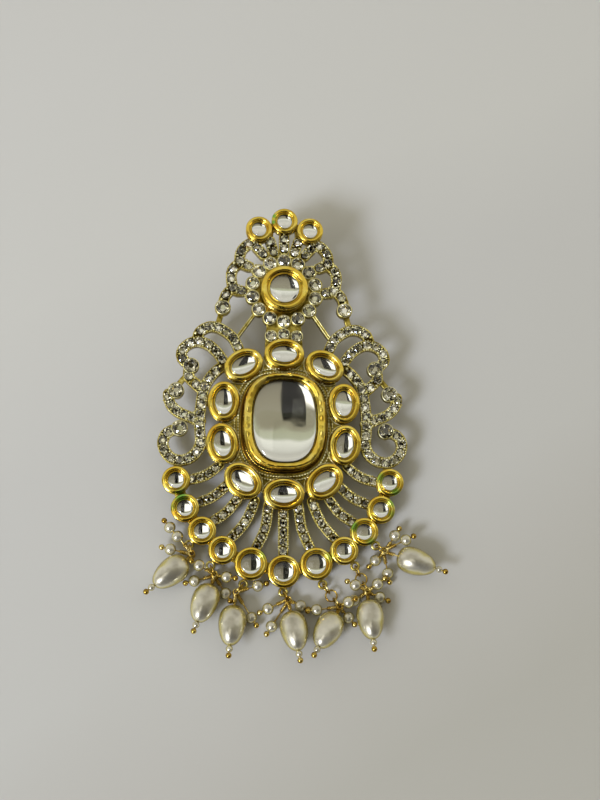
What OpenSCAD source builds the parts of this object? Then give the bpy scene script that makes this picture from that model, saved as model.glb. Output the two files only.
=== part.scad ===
// Kalgi turban ornament: a cast openwork plate that carries cup-set mirror stones, rows of
// small cut stones, seven pearl clusters along its lower rim and a brooch pin behind.
// The plate is drawn flat, with u across, v up the ornament and w out of its face.
// laid() then leans it on its brooch pin and its lower rim, the way it lies on a table.

/* [Casting] */
// Thickness of the bands, rails included
band_t = 1.9; // [1.7:0.1:2.4]
// Depth of the channel that the small stones sit in
channel_depth = 0.7; // [0.4:0.1:0.9]
// Width of the scroll bands
band_w = 2.9; // [2.7:0.1:3.2]
// Width of the curved ribs
rib_w = 2.6; // [2.4:0.1:2.8]
// Width of the rail along each edge of a band
rail_w = 0.32; // [0.25:0.01:0.4]
// Thickness of the plate and the pads under the settings
pad_t = 1.5; // [1.2:0.1:1.6]
// Sideways bow of the curved ribs
rib_bow = 0.9; // [0.4:0.1:1.2]

/* [Settings] */
// Outer diameter of the small round settings
small_cup_d = 7.1; // [6.6:0.1:7.2]
// Outer diameter of the three round settings at the bottom of the rim
low_cup_d = 8.2; // [7.6:0.1:8.3]
// Outer diameter of the crest's setting
crest_cup_d = 12.6; // [12:0.1:13]
// Long outer diameter of the oval settings
oval_l = 10.6; // [10:0.1:10.7]
// Short outer diameter of the oval settings
oval_w = 8.3; // [7.6:0.1:8.4]
// Width across the rim of the centre setting
centre_w = 21.6; // [20.8:0.1:21.8]
// Height up the rim of the centre setting
centre_l = 25.8; // [25:0.1:26]
// Height of the round settings
cup_h = 2.3; // [2:0.1:2.8]
// Height of the centre setting
centre_h = 5.4; // [4.6:0.1:6]

/* [Stones] */
// Diameter of the cut stones in the scrolls
scroll_stone_d = 2.1; // [1.8:0.05:2.15]
// Diameter of the cut stones in the ribs
rib_stone_d = 1.8; // [1.6:0.05:1.85]
// Diameter of the cut stones in the crest's ring
ring_stone_d = 2.9; // [2.6:0.1:3]
// Diameter of the cut stone in the eye of each scroll
eye_stone_d = 3.4; // [3:0.1:3.5]
// Distance from one scroll stone to the next
stone_pitch = 2.65; // [2.6:0.05:3]

/* [Pearls] */
// Length of the large drop pearls
drop_l = 10.4; // [10:0.1:11]
// Diameter of the large drop pearls
drop_d = 7; // [6.6:0.1:7.2]
// How much a drop narrows from its loop end to its tip
drop_taper = 0.18; // [0.08:0.01:0.2]
// Diameter of the small pearls
pearl_d = 3; // [2.6:0.1:3]
// Diameter of the bead at the tip of a drop
tip_bead_d = 1.7; // [1.6:0.1:2.1]

/* [Wire] */
// Diameter of the head pins
pin_wire_d = 0.36; // [0.32:0.02:0.38]
// Diameter of the jump rings' wire
ring_wire_d = 0.44; // [0.4:0.02:0.46]
// Diameter of the jump rings, measured at the middle of the wire
ring_d = 2.9; // [2.85:0.05:3]
// Diameter of the ball that ends each head pin
ball_d = 1.5; // [1.2:0.1:1.6]

/* [Brooch pin] */
// Distance from the back of the casting to the middle of the stem
pin_drop = 6.4; // [5.5:0.1:7]
// Diameter of the stem
stem_d = 1.2; // [1:0.1:1.4]
// Diameter of the hinge and catch barrels, on which the ornament rests
barrel_d = 2.4; // [2:0.1:3]
// Distance between the middles of the two barrels
barrel_gap = 25; // [22:0.5:26]

/* [Hidden] */
$fn = 48;
GOLD = "goldenrod";
ANTIQUE = "darkkhaki";
MIRROR = "gainsboro";
CRYSTAL = "lightsteelblue";
PEARL = "ivory";
// Clearance between a piece and its seat.
fit = 0.05;
// Height of the seats on the pads, and of the channel floor.
seat_w = pad_t + fit;
floor_w = band_t - channel_depth;

// Line of the brooch pin up the ornament.
pin_v = 10;
// The rim's lowest edge, below the bottom setting.
rim_low = -38.8 - low_cup_d / 2;
// Lean that brings the rim's lowest edge down to the level of the barrels' undersides.
reach_v = pin_v - rim_low;
lean = asin(barrel_d / 2 / norm([reach_v, pin_drop])) + atan2(pin_drop, reach_v);
table_z = -barrel_d / 2;

// Round settings of the rim on the right-hand side, from the top down, then the bottom one:
// u, v, outer diameter.
RIM_SIDE = [
    [28.0, -15.6, small_cup_d],
    [25.5, -22.8, small_cup_d],
    [21.0, -28.6, small_cup_d],
    [15.7, -33.5, small_cup_d],
    [8.4, -36.9, low_cup_d]
];
RIM_LOW = [0, -38.8, low_cup_d];
// Settings above the crest: u, v, outer diameter.
TOP = [[-7.1, 54.6, small_cup_d], [0, 57.2, small_cup_d], [7.1, 54.6, small_cup_d]];
// Oval settings on the right-hand side, from the top down: u, v, turn of the long axis.
OVAL_SIDE = [[10.9, 15.6, -30], [16.0, 5.5, 90], [16.2, -5.8, 82], [10.7, -15.6, 42]];
OVAL_TOP = [0, 18.9, 0];
OVAL_LOW = [0, -19.0, 0];
// Crest: centre of the round setting and radius of the ring of stones round it.
CREST = [0, 37.3];
CREST_RING_R = 8.8;
CREST_STONES = 14;
function ring_places() = [for (i = [0:CREST_STONES - 1]) let (t = 90 + 360 * i / CREST_STONES)
    [CREST[0] + CREST_RING_R * cos(t), CREST[1] + CREST_RING_R * sin(t)]];

// The right-hand side scroll, as routes through hand-set points of u, v.
OUTER_ARCH = [[12.2, 20.4], [13.6, 23.3], [15.7, 25.2], [18.0, 26.4], [20.5, 26.5], [22.8, 25.0], [23.4, 22.8]];
UPPER_CURL = [[15.6, 15.4], [16.6, 17.4], [18.2, 19.6], [20.3, 21.4], [22.8, 22.3], [25.3, 21.8], [27.2, 20.0], [27.4, 17.6], [24.9, 15.5]];
MAIN_STEM = [[15.9, 15.9], [18.4, 14.0], [20.2, 11.6], [21.4, 8.9], [21.9, 6.0], [22.2, 3.0], [22.3, 0.0], [22.1, -3.0], [21.9, -5.8], [23.3, -8.5], [26.0, -10.1], [28.9, -9.9], [31.0, -8.0], [31.8, -5.3], [30.6, -2.8], [27.6, -1.6]];
SPUR = [[24.9, 15.5], [25.6, 12.8], [23.7, 10.6], [21.5, 8.7]];
LOWER_CURL = [[22.0, 0.4], [25.2, 1.6], [28.0, 2.8], [30.1, 4.9], [30.7, 7.6]];
// Eyes of the scrolls, each with one larger stone.
SCROLL_EYES = [[24.9, 15.5], [27.5, -1.6], [28.7, 8.6]];
// Scallops beside the crest on the right-hand side, and the end stone of its arm.
UPPER_SCALLOP = [[7.6, 51.8], [10.3, 50.5], [12.1, 48.1], [12.1, 45.4], [9.7, 44.2]];
LOWER_SCALLOP = [[12.1, 45.4], [14.3, 43.0], [14.5, 40.0], [13.6, 37.3], [11.3, 37.0]];
CREST_ARM = [[13.8, 38.0], [16.0, 35.6], [16.7, 32.3]];
ARM_EYE = [16.7, 32.1];
// Rays between the crest's ring and the top settings: start and end as u, v.
RAYS = [[[0, 49.2], [0, 53.2]], [[2.8, 48.2], [3.9, 51.9]], [[5.7, 47.7], [7.7, 50.0]]];
// Ribs on the right-hand side: inner end and outer end as u, v.
RIBS = [
    [[16.8, -11.3], [25.0, -15.4]],
    [[14.6, -16.3], [22.9, -21.5]],
    [[11.6, -19.4], [18.9, -26.4]],
    [[7.4, -20.6], [14.0, -30.9]],
    [[3.9, -21.4], [7.3, -33.4]]
];
// Neck plate between the crest and the top oval: half width at its top and bottom, and v of both.
NECK = [4.6, 5.2, 29.0, 21.0];
// Stones set in the neck, and their diameter.
NECK_STONES = [[-3.5, 24.3], [0, 24.8], [3.5, 24.3]];
neck_stone_d = 2.5;
// Plain tabs and rods that tie the parts together on the right-hand side: start, end, width.
TIES = [
    [[17.0, 31.0], [18.2, 26.4], 1.5],
    [[7.6, 31.2], [12.9, 23.4], 0.95],
    [[25.6, 13.4], [28.6, 9.8], 1.4],
    [[16.4, 5.5], [21.8, 6.4], 3.2],
    [[16.4, -5.8], [21.9, -5.2], 3.2],
    [[27.6, -9.9], [28.0, -15.6], 2.2],
    [[9.4, 44.3], [7.6, 42.6], 1.6],
    [[11.4, 37.1], [8.6, 37.2], 1.6],
    [[7.9, 50.1], [7.4, 54.0], 1.8],
    [[3.9, 51.9], [3.4, 55.6], 1.2],
    [[3.6, 55.9], [7.1, 54.6], 2.4],
    [[3.6, 55.9], [0, 57.2], 2.4]
];

// The seven pearl clusters: u and v of the soldered eye, direction of its links, number of links.
CLUSTERS = [
    [-24.2, -32.0, -74, 1],
    [-18.7, -37.3, -66, 1],
    [-10.2, -42.0, -132, 1],
    [0, -43.9, -61, 1],
    [10.2, -42.0, -54, 3],
    [18.7, -37.3, -66, 3],
    [24.2, -32.0, -33, 1]
];
// Head pins: cluster, place on the link from -2 below to 2 above, direction, distance to the
// first pearl's middle, its height over the table, and number of small pearls (0 is a drop).
PINS = [
    [0, 0, -139, 6.4, 3.8, 0], [0, 1, 166, 5.0, 3.2, 1], [0, 2, 131, 5.0, 4.0, 2],
    [1, 0, -109, 7.2, 3.95, 0], [1, 2, 154, 3.9, 4.4, 1], [1, -1, 194, 4.6, 1.6, 1],
    [1, 1, -10, 2.4, 3.0, 1], [1, -2, -58, 4.8, 1.6, 1],
    [2, 0, -96, 8.3, 4, 0], [2, -1, -58, 6.8, 1.6, 1], [2, 1, 15, 5.0, 2.4, 1],
    [3, 0, -81, 7.6, 4.05, 0], [3, -1, -124, 7.0, 1.6, 1], [3, 2, 205, 5.0, 2.8, 1],
    [3, 1, -22, 2.7, 1.6, 1],
    [4, 0, -121, 6.8, 4.1, 0], [4, 1, 187, 5.4, 2.4, 1], [4, -1, -50, 2.7, 1.6, 1],
    [4, 2, 20, 2.1, 4.1, 1],
    [5, 0, -88, 6.8, 4, 0], [5, 1, 36, 2.6, 2.8, 1], [5, 2, 158, 2.8, 3.6, 1],
    [5, -1, 212, 3.2, 1.6, 1], [5, -2, -24, 3.0, 1.6, 1],
    [6, 0, -20, 7.8, 3.8, 0], [6, 1, 56, 4.3, 3.2, 1], [6, 2, 25, 5.6, 4.2, 1],
    [6, -1, -138, 2.6, 1.8, 1], [6, -2, -80, 5.0, 1.6, 1]
];

// Smooth curve through hand-set points, with n steps between one point and the next.
function curve_at(a, b, c, d, t) =
    0.5 * (2 * b + (c - a) * t + (2 * a - 5 * b + 4 * c - d) * t * t + (3 * b - a - 3 * c + d) * t * t * t);
function smooth(p, n) = concat(
    [for (i = [0:len(p) - 2], j = [0:n - 1])
        curve_at(p[max(i - 1, 0)], p[i], p[i + 1], p[min(i + 2, len(p) - 1)], j / n)],
    [p[len(p) - 1]]
);
// Direction of a path at its point i, and the unit vector across it.
function heading(p, i) = let (d = p[min(i + 1, len(p) - 1)] - p[max(i - 1, 0)]) d / norm(d);
function across(d) = [d[1], -d[0]];
// Outline of a band of width w along a path, with a round cap on each end.
function cap(middle, d, w) =
    [for (t = [30:30:150]) middle + (across(d) * cos(t) + d * sin(t)) * w / 2];
function ribbon(p, w) = let (n = len(p) - 1) concat(
    [for (i = [0:n]) p[i] + across(heading(p, i)) * w / 2],
    cap(p[n], heading(p, n), w),
    [for (i = [n:-1:0]) p[i] - across(heading(p, i)) * w / 2],
    cap(p[0], -heading(p, 0), w)
);
// Length of a path, and the point at distance s along it.
function path_length(p, i = 0) = i > len(p) - 2 ? 0 : norm(p[i + 1] - p[i]) + path_length(p, i + 1);
function along(p, s, i = 0) =
    let (d = norm(p[i + 1] - p[i]))
    s <= d || i == len(p) - 2 ? p[i] + (p[i + 1] - p[i]) * s / d : along(p, s - d, i + 1);
// Points evenly spaced along a path, about one pitch apart, from one margin to the other.
function spaced(p, pitch, first, last) =
    let (l = path_length(p) - first - last, n = max(1, round(l / pitch)))
    [for (i = [0:n]) along(p, first + l * i / n)];
// Middle line of a rib, bowed to one side.
function rib_path(r) =
    let (d = (r[1] - r[0]) / norm(r[1] - r[0]))
    smooth([r[0], (r[0] + r[1]) / 2 + [d[1], -d[0]] * rib_bow, r[1]], 5);
function mirrored(p) = [-p[0], p[1]];

SCROLL_BANDS = [OUTER_ARCH, UPPER_CURL, MAIN_STEM, SPUR, LOWER_CURL];
CREST_BANDS = [UPPER_SCALLOP, LOWER_SCALLOP, CREST_ARM];
CENTRE_RIB = [[0, -22], [0, -36]];

// Lays the flat ornament down: its brooch pin's middle comes to the origin.
module laid() {
    rotate([lean, 0, 0])
        translate([0, -pin_v, pin_drop])
            children();
}

// The same step for one point of the plate.
function laid_at(p) = let (y = p[1] - pin_v, z = p[2] + pin_drop)
    [p[0], y * cos(lean) - z * sin(lean), y * sin(lean) + z * cos(lean)];

// Draws its children on the right-hand side and again, mirrored, on the left.
module both_sides() {
    children();
    mirror([1, 0, 0]) children();
}

module band(points, w) {
    polygon(ribbon(smooth(points, 3), w));
}

module bar(a, b, w) {
    polygon(ribbon([a, b], w));
}

// Flat outline of every band that carries a row of stones, narrowed by inset on each edge.
module band_outlines(inset) {
    both_sides() {
        for (points = SCROLL_BANDS)
            band(points, band_w - 2 * inset);
        for (points = CREST_BANDS)
            band(points, band_w - 2 * inset);
        for (eye = concat(SCROLL_EYES, [ARM_EYE]))
            translate(eye) circle(d = eye_stone_d + 2 * rail_w + 0.3 - 2 * inset);
        for (rib = RIBS)
            polygon(ribbon(rib_path(rib), rib_w - 2 * inset));
        for (ray = [RAYS[1], RAYS[2]])
            bar(ray[0], ray[1], band_w - 2 * inset);
    }
    polygon(ribbon(CENTRE_RIB, rib_w - 2 * inset));
    polygon(ribbon(RAYS[0], band_w - 2 * inset));
    for (p = ring_places())
        translate(p) circle(r = ring_stone_d / 2 + 0.6 - inset);
    for (p = NECK_STONES)
        translate(p) circle(r = neck_stone_d / 2 + 0.5 - inset);
}

// Flat outline of the round and oval settings, with their clearance.
module seat_outlines() {
    for (p = concat(TOP, RIM))
        translate([p[0], p[1]]) circle(d = p[2] + 2 * fit);
    for (p = OVALS)
        translate([p[0], p[1]]) rotate(p[2]) polygon(cushion(oval_l / 2 + fit, oval_w / 2 + fit, 2, 40));
}

// Flat outline of the plate and of the pads under the settings.
module pad_outlines() {
    polygon(cushion(16.4, 19.4, 2.2, 64));
    translate(CREST) circle(r = CREST_RING_R);
    polygon([[-NECK[0], NECK[2]], [NECK[0], NECK[2]], [NECK[1], NECK[3]], [0, 17], [-NECK[1], NECK[3]]]);
    for (p = TOP)
        translate([p[0], p[1]]) circle(d = p[2] - 0.3);
    translate([RIM_LOW[0], RIM_LOW[1]]) circle(d = RIM_LOW[2] - 0.3);
    both_sides() {
        for (p = RIM_SIDE)
            translate([p[0], p[1]]) circle(d = p[2] - 0.3);
        for (i = [0:3])
            bar([RIM_SIDE[i][0], RIM_SIDE[i][1]], [RIM_SIDE[i + 1][0], RIM_SIDE[i + 1][1]], 3);
        bar([RIM_SIDE[4][0], RIM_SIDE[4][1]], [RIM_LOW[0], RIM_LOW[1]], 3);
        for (tie = TIES)
            bar(tie[0], tie[1], tie[2]);
        for (p = OVAL_SIDE)
            translate([p[0], p[1]]) rotate(p[2]) polygon(cushion(oval_l / 2 - 0.4, oval_w / 2 - 0.4, 2, 40));
    }
}

// Rounded-rectangle outline with half sizes a and b. Squareness 2 is an ellipse, 4 is nearly a box.
function cushion(a, b, squareness, count) = [for (i = [0:count - 1])
    let (t = 360 * i / count, c = cos(t), s = sin(t))
    [a * sign(c) * pow(abs(c), 2 / squareness), b * sign(s) * pow(abs(s), 2 / squareness)]];

// Closed skin over a stack of like outlines, each given as half sizes a, b and height z.
module lofted(rings, squareness, count) {
    points = [for (r = rings, p = cushion(r[0], r[1], squareness, count)) [p[0], p[1], r[2]]];
    walls = [for (i = [0:len(rings) - 2], j = [0:count - 1], k = [0:1])
        let (a = i * count + j, b = i * count + (j + 1) % count)
        k == 0 ? [a, a + count, b] : [b, a + count, b + count]];
    ends = [[for (j = [0:count - 1]) j], [for (j = [count - 1:-1:0]) (len(rings) - 1) * count + j]];
    polyhedron(points, concat(walls, ends));
}

module openwork_frame() {
    color(ANTIQUE)
        laid() {
            difference() {
                union() {
                    linear_extrude(band_t) band_outlines(0);
                    linear_extrude(pad_t) pad_outlines();
                }
                translate([0, 0, floor_w]) linear_extrude(channel_depth + 1) band_outlines(rail_w);
                translate([0, 0, pad_t]) linear_extrude(1) seat_outlines();
            }
            for (c = CLUSTERS)
                eye(c);
        }
}

// A soldered eye under the rim, and the short neck that joins it to the nearest pad,
// low enough to pass under the setting there.
eye_r = 0.95;
eye_wire_d = 0.7;
eye_w = 1.3;
eye_neck_d = 0.6;
module eye(c) {
    towards = atan2(-12 - c[1], -c[0]);
    translate([c[0], c[1], eye_w])
        rotate_extrude() translate([eye_r, 0]) circle(d = eye_wire_d);
    translate([c[0], c[1], eye_w - 0.15])
        rotate([0, 0, towards]) translate([eye_r, 0, 0]) rotate([0, 90, 0]) cylinder(d = eye_neck_d, h = 1.6);
}

module brooch_pin() {
    color(GOLD)
        laid()
            translate([0, pin_v, 0]) {
                translate([-barrel_gap / 2 - 1.5, -1.5, -0.6 - fit]) cube([barrel_gap + 3, 3, 0.6]);
                for (u = [-barrel_gap / 2, barrel_gap / 2]) {
                    translate([u - 1.2, -1, -pin_drop]) cube([2.4, 2, pin_drop - 0.3]);
                    translate([u - 1.6, 0, -pin_drop]) rotate([0, 90, 0]) cylinder(d = barrel_d, h = 3.2);
                }
                translate([-barrel_gap / 2, 0, -pin_drop]) rotate([0, 90, 0]) cylinder(d = stem_d, h = barrel_gap);
            }
}

// Round cup: outer radius r, radius q of the stone that shows, height h.
module cup(r, q, h) {
    rotate_extrude()
        polygon([
            [0, 0], [r - 0.45, 0], [r - 0.1, 0.35], [r, 0.8], [r, h - 0.75], [r - 0.2, h - 0.22], [r - 0.6, h],
            [r - 0.85, h - 0.1], [q, h - 0.8], [q, h - 1.0], [q + 0.3, h - 1.1], [q + 0.3, 0.45], [0, 0.45]
        ]);
}

// Round domed stone for that cup, flat behind.
module dome(q, h, rise) {
    rotate_extrude()
        polygon(concat(
            [[0, 0.5], [q + 0.24, 0.5], [q + 0.24, h - 1.22], [q - 0.06, h - 1.08]],
            [for (i = [0:5]) [(q - 0.06) * cos(18 * i), h - 0.95 + rise * sin(18 * i)]]
        ));
}

// Moves a child onto a setting's place.
module at(p) {
    translate([p[0], p[1], seat_w])
        rotate([0, 0, len(p) > 2 ? p[2] : 0])
            children();
}
function spot(p) = [p[0], p[1]];
// Radius of the stone that shows in a round cup of outer diameter d.
function shown(d) = d / 2 - 1.5;

// Oval cup, as a stack of ellipses: inset from the outer half sizes, and height.
oval_h = cup_h + 0.2;
oval_band = 1.87;
OVAL_CUP = [
    [0.4, 0], [0, 0.6], [0, oval_h - 0.75], [0.2, oval_h - 0.22], [0.6, oval_h], [0.85, oval_h - 0.1],
    [oval_band, oval_h - 0.85], [oval_band - 0.25, oval_h - 1.1], [oval_band - 0.25, 0.45]
];
module oval_cup() {
    lofted([for (c = OVAL_CUP) [oval_l / 2 - c[0], oval_w / 2 - c[0], c[1]]], 2, 30);
}

// Oval domed stone for that cup: an oval slab under a shallow ball-shaped dome.
module oval_dome() {
    a = oval_l / 2 - oval_band;
    b = oval_w / 2 - oval_band;
    dome_r = 8;
    translate([0, 0, 0.5]) linear_extrude(oval_h - 1.7) polygon(cushion(a + 0.15, b + 0.15, 2, 36));
    intersection() {
        translate([0, 0, 1]) linear_extrude(oval_h) polygon(cushion(a - 0.08, b - 0.08, 2, 36));
        translate([0, 0, oval_h - 0.3 - dome_r]) sphere(r = dome_r);
    }
}

// Centre cup, as a stack of cushion outlines: inset from the rim's half sizes, and height.
CENTRE_CUP = [
    [-0.6, 0], [-0.75, 0.3], [-0.6, 0.8], [0.3, 0.95], [0.2, 2.4], [0, centre_h - 1.1], [0.15, centre_h - 0.4],
    [0.6, centre_h], [1.1, centre_h - 0.08], [2.55, centre_h - 1.0], [2.55, centre_h - 1.3],
    [2.2, centre_h - 1.4], [2.2, centre_h - 2.9]
];
CENTRE_SEAT = [[2.25, centre_h - 2.85], [2.25, centre_h - 1.5], [2.7, centre_h - 1.3], [2.75, centre_h - 1.1]];
centre_rise = 1.5;

module centre_setting() {
    color(GOLD)
        laid()
            translate([0, 0, seat_w])
                lofted([for (c = CENTRE_CUP) [centre_w / 2 - c[0], centre_l / 2 - c[0], c[1]]], 2.8, 48);
}

module centre_stone() {
    a = centre_w / 2 - 2.75;
    b = centre_l / 2 - 2.75;
    color(MIRROR)
        laid()
            translate([0, 0, seat_w])
                lofted(concat(
                    [for (c = CENTRE_SEAT) [centre_w / 2 - c[0], centre_l / 2 - c[0], c[1]]],
                    [for (i = [1:6]) [a * cos(14 * i), b * cos(14 * i), centre_h - 1.1 + centre_rise * sin(14 * i)]]
                ), 2.8, 48);
}

module crest_setting() {
    color(GOLD)
        laid() at(CREST) cup(crest_cup_d / 2, crest_cup_d / 2 - 2.3, cup_h + 0.9);
}

module crest_stone() {
    color(MIRROR)
        laid() at(CREST) dome(crest_cup_d / 2 - 2.3, cup_h + 0.9, 1.0);
}

module top_settings() {
    color(GOLD)
        laid()
            for (p = TOP)
                at(spot(p)) cup(p[2] / 2, shown(p[2]), cup_h);
}

module top_stone(i) {
    p = TOP[i - 1];
    color(MIRROR)
        laid() at(spot(p)) dome(shown(p[2]), cup_h, 0.6);
}

// Settings round the centre and along the rim, counted from the upper left to the upper right.
function left_of(list) = [for (i = [0:len(list) - 1]) [-list[i][0], list[i][1], list[i][2]]];
function turned(list) = [for (p = list) [-p[0], p[1], 180 - p[2]]];
function backwards(list) = [for (i = [len(list) - 1:-1:0]) list[i]];
OVALS = concat([OVAL_TOP], OVAL_SIDE, [OVAL_LOW], backwards(turned(OVAL_SIDE)));
RIM = concat(left_of(RIM_SIDE), [RIM_LOW], backwards(RIM_SIDE));

module oval_settings() {
    color(GOLD)
        laid()
            for (p = OVALS)
                at(p) oval_cup();
}

module oval_stone(i) {
    color(MIRROR)
        laid() at(OVALS[i - 1]) oval_dome();
}

module rim_settings() {
    color(GOLD)
        laid()
            for (p = RIM)
                at(spot(p)) cup(p[2] / 2, shown(p[2]), cup_h);
}

module rim_stone(i) {
    p = RIM[i - 1];
    color(MIRROR)
        laid() at(spot(p)) dome(shown(p[2]), cup_h, 0.6);
}

// Small cut stones: eight sides rising to a flat table. Each place is u, v, diameter, turn.
module cut_stones(places) {
    base = floor_w + fit;
    points = [for (p = places, k = [0, 1], i = [0:7])
        let (r = p[2] / 2 * (k == 0 ? 1 : 0.55), t = p[3] + 45 * i)
        [p[0] + r * cos(t), p[1] + r * sin(t), base + k * p[2] * 0.45]];
    faces = [for (n = [0:len(places) - 1], f = [0:9])
        let (o = 16 * n)
        f == 8 ? [for (i = [0:7]) o + i] :
        f == 9 ? [for (i = [7:-1:0]) o + 8 + i] :
        [o + f, o + 8 + f, o + 8 + (f + 1) % 8, o + (f + 1) % 8]];
    color(CRYSTAL)
        laid() polyhedron(points, faces);
}

// Places along a band, with the stones' diameter and turn added.
function row_of(points, pitch, first, last, d) =
    [for (p = spaced(smooth(points, 3), pitch, first, last)) [p[0], p[1], d, 0]];
function flipped(places) = [for (p = places) [-p[0], p[1], p[2], p[3]]];

SCROLL_STONES = concat(
    row_of(OUTER_ARCH, stone_pitch, 1.0, 2.9, scroll_stone_d),
    row_of(UPPER_CURL, stone_pitch, 2.4, 3.0, scroll_stone_d),
    row_of(MAIN_STEM, stone_pitch, 2.9, 3.1, scroll_stone_d),
    row_of(SPUR, stone_pitch, 3.0, 2.6, scroll_stone_d),
    row_of(LOWER_CURL, stone_pitch, 2.6, 3.0, scroll_stone_d),
    [for (p = SCROLL_EYES) [p[0], p[1], eye_stone_d, 0]]
);
CREST_SIDE_STONES = concat(
    row_of(UPPER_SCALLOP, stone_pitch, 2.6, 0.2, scroll_stone_d),
    row_of(LOWER_SCALLOP, stone_pitch, 2.9, 0.2, scroll_stone_d),
    [[15.9, 35.7, scroll_stone_d, 0], [ARM_EYE[0], ARM_EYE[1], eye_stone_d - 0.2, 0]],
    [for (ray = [RAYS[1], RAYS[2]], p = spaced(ray, 2.3, 0.5, 0.35)) [p[0], p[1], scroll_stone_d, 0]]
);
CREST_CENTRE_STONES = concat(
    [for (p = ring_places()) [p[0], p[1], ring_stone_d, 0]],
    [for (p = NECK_STONES) [p[0], p[1], neck_stone_d, 0]],
    [for (v = [49.8, 52.4]) [0, v, scroll_stone_d, 0]]
);
RIB_STONES = concat(
    [for (rib = RIBS, p = spaced(rib_path(rib), 2.6, 1.3, 1.1)) [p[0], p[1], rib_stone_d, 0]],
    [for (rib = RIBS, p = spaced(rib_path(rib), 2.6, 1.3, 1.1)) [-p[0], p[1], rib_stone_d, 0]],
    [for (p = spaced(CENTRE_RIB, 2.6, 1.9, 2.4)) [p[0], p[1], rib_stone_d, 0]]
);

module pave_crest() {
    cut_stones(concat(CREST_CENTRE_STONES, CREST_SIDE_STONES, flipped(CREST_SIDE_STONES)));
}

module pave_left_scroll() {
    cut_stones(flipped(SCROLL_STONES));
}

module pave_right_scroll() {
    cut_stones(SCROLL_STONES);
}

module pave_ribs() {
    cut_stones(RIB_STONES);
}

// Links of a cluster stand on edge and lie flat in turn, each passing through the one before.
link_r = ring_d / 2;
link_step = 2.25;
// Middle of link n of a cluster. The first one is kept clear of the table.
function eye_at(c) = laid_at([c[0], c[1], eye_w]);
function link_z(c) = max(eye_at(c)[2], table_z + link_r + ring_wire_d / 2 + fit);
function link_at(c, n) =
    let (e = eye_at(c), rise = link_z(c) - e[2], s = sqrt(link_r * link_r - rise * rise) + n * link_step)
    [e[0] + s * cos(c[2]), e[1] + s * sin(c[2]), link_z(c)];

module jump_rings() {
    color(GOLD)
        for (c = CLUSTERS, n = [0:c[3] - 1])
            translate(link_at(c, n))
                rotate([0, 0, c[2]])
                    rotate([n % 2 == 0 ? 90 : 0, 0, 0])
                        rotate_extrude() translate([link_r, 0]) circle(d = ring_wire_d);
}

// Middle of a head pin's loop, on the far side of the cluster's last link. The loops lie level,
// one above the other, and each pin leaves its loop in its own direction.
loop_r = 0.7;
function slot_turn(p) = 20 * p[1];
function loop_at(p) =
    let (c = CLUSTERS[p[0]], m = link_at(c, c[3] - 1), t = slot_turn(p))
    m + link_r * [cos(t) * cos(c[2]), cos(t) * sin(c[2]), sin(t)];
function pin_start(p) = loop_at(p) + loop_r * [cos(p[2]), sin(p[2]), 0];
function pin_rise(p) = asin((table_z + p[4] - pin_start(p)[2]) / p[3]);

// Turns a child from the X axis to the run of a head pin.
module on_pin(p) {
    translate(pin_start(p))
        rotate([0, -pin_rise(p), p[2]])
            children();
}

// Distance from the start of the pin to the ball that ends it.
function ball_at(p) = p[5] == 0 ? p[3] + drop_l / 2 + tip_bead_d + 0.15 + ball_d / 2 :
    p[3] + (p[5] - 1) * (pearl_d + fit) + pearl_d / 2 + ball_d / 2 + fit;

module head_pin(p) {
    translate(loop_at(p))
        rotate_extrude() translate([loop_r, 0]) circle(d = pin_wire_d);
    on_pin(p) {
        rotate([0, 90, 0]) cylinder(d = pin_wire_d - 0.06, h = ball_at(p));
        translate([ball_at(p), 0, 0]) sphere(d = ball_d);
    }
}

module head_pins(k) {
    color(GOLD)
        for (p = PINS)
            if (p[0] == k - 1)
                head_pin(p);
}

// Radius of the hole drilled through each pearl.
bore_r = pin_wire_d / 2 + fit;

// A round pearl, drilled along X.
module pearl(d) {
    rotate([0, 90, 0])
        difference() {
            sphere(d = d);
            cylinder(r = bore_r, h = d + 1, center = true);
        }
}

// A drop pearl, drilled along X, full at its loop end and narrower at its tip.
module drop() {
    rotate([0, 90, 0])
        rotate_extrude()
            polygon(concat(
                [for (i = [0:12]) let (t = 172 - 13.6667 * i)
                    [max(bore_r, drop_d / 2 * pow(sin(t), 0.85) * (1 - drop_taper * cos(t))), drop_l / 2 * cos(t)]],
                [[bore_r, drop_l / 2 * cos(8)], [bore_r, -drop_l / 2 * cos(8)]]
            ));
}

module drop_pearl(k) {
    color(PEARL)
        for (p = PINS)
            if (p[0] == k - 1 && p[5] == 0)
                on_pin(p) translate([p[3], 0, 0]) drop();
}

module small_pearls(k) {
    color(PEARL)
        for (p = PINS)
            if (p[0] == k - 1)
                on_pin(p) {
                    if (p[5] == 0)
                        translate([p[3] + drop_l / 2 + tip_bead_d / 2 + fit, 0, 0]) pearl(tip_bead_d);
                    for (n = [1:1:p[5]])
                        translate([p[3] + (n - 1) * (pearl_d + fit), 0, 0]) pearl(pearl_d);
                }
}

openwork_frame();
brooch_pin();
centre_setting();
centre_stone();
crest_setting();
crest_stone();
top_settings();
top_stone(1);  // top_stone_1
top_stone(2);  // top_stone_2
top_stone(3);  // top_stone_3
oval_settings();
oval_stone(1);  // oval_stone_1
oval_stone(2);  // oval_stone_2
oval_stone(3);  // oval_stone_3
oval_stone(4);  // oval_stone_4
oval_stone(5);  // oval_stone_5
oval_stone(6);  // oval_stone_6
oval_stone(7);  // oval_stone_7
oval_stone(8);  // oval_stone_8
oval_stone(9);  // oval_stone_9
oval_stone(10);  // oval_stone_10
rim_settings();
rim_stone(1);  // rim_stone_1
rim_stone(2);  // rim_stone_2
rim_stone(3);  // rim_stone_3
rim_stone(4);  // rim_stone_4
rim_stone(5);  // rim_stone_5
rim_stone(6);  // rim_stone_6
rim_stone(7);  // rim_stone_7
rim_stone(8);  // rim_stone_8
rim_stone(9);  // rim_stone_9
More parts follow.
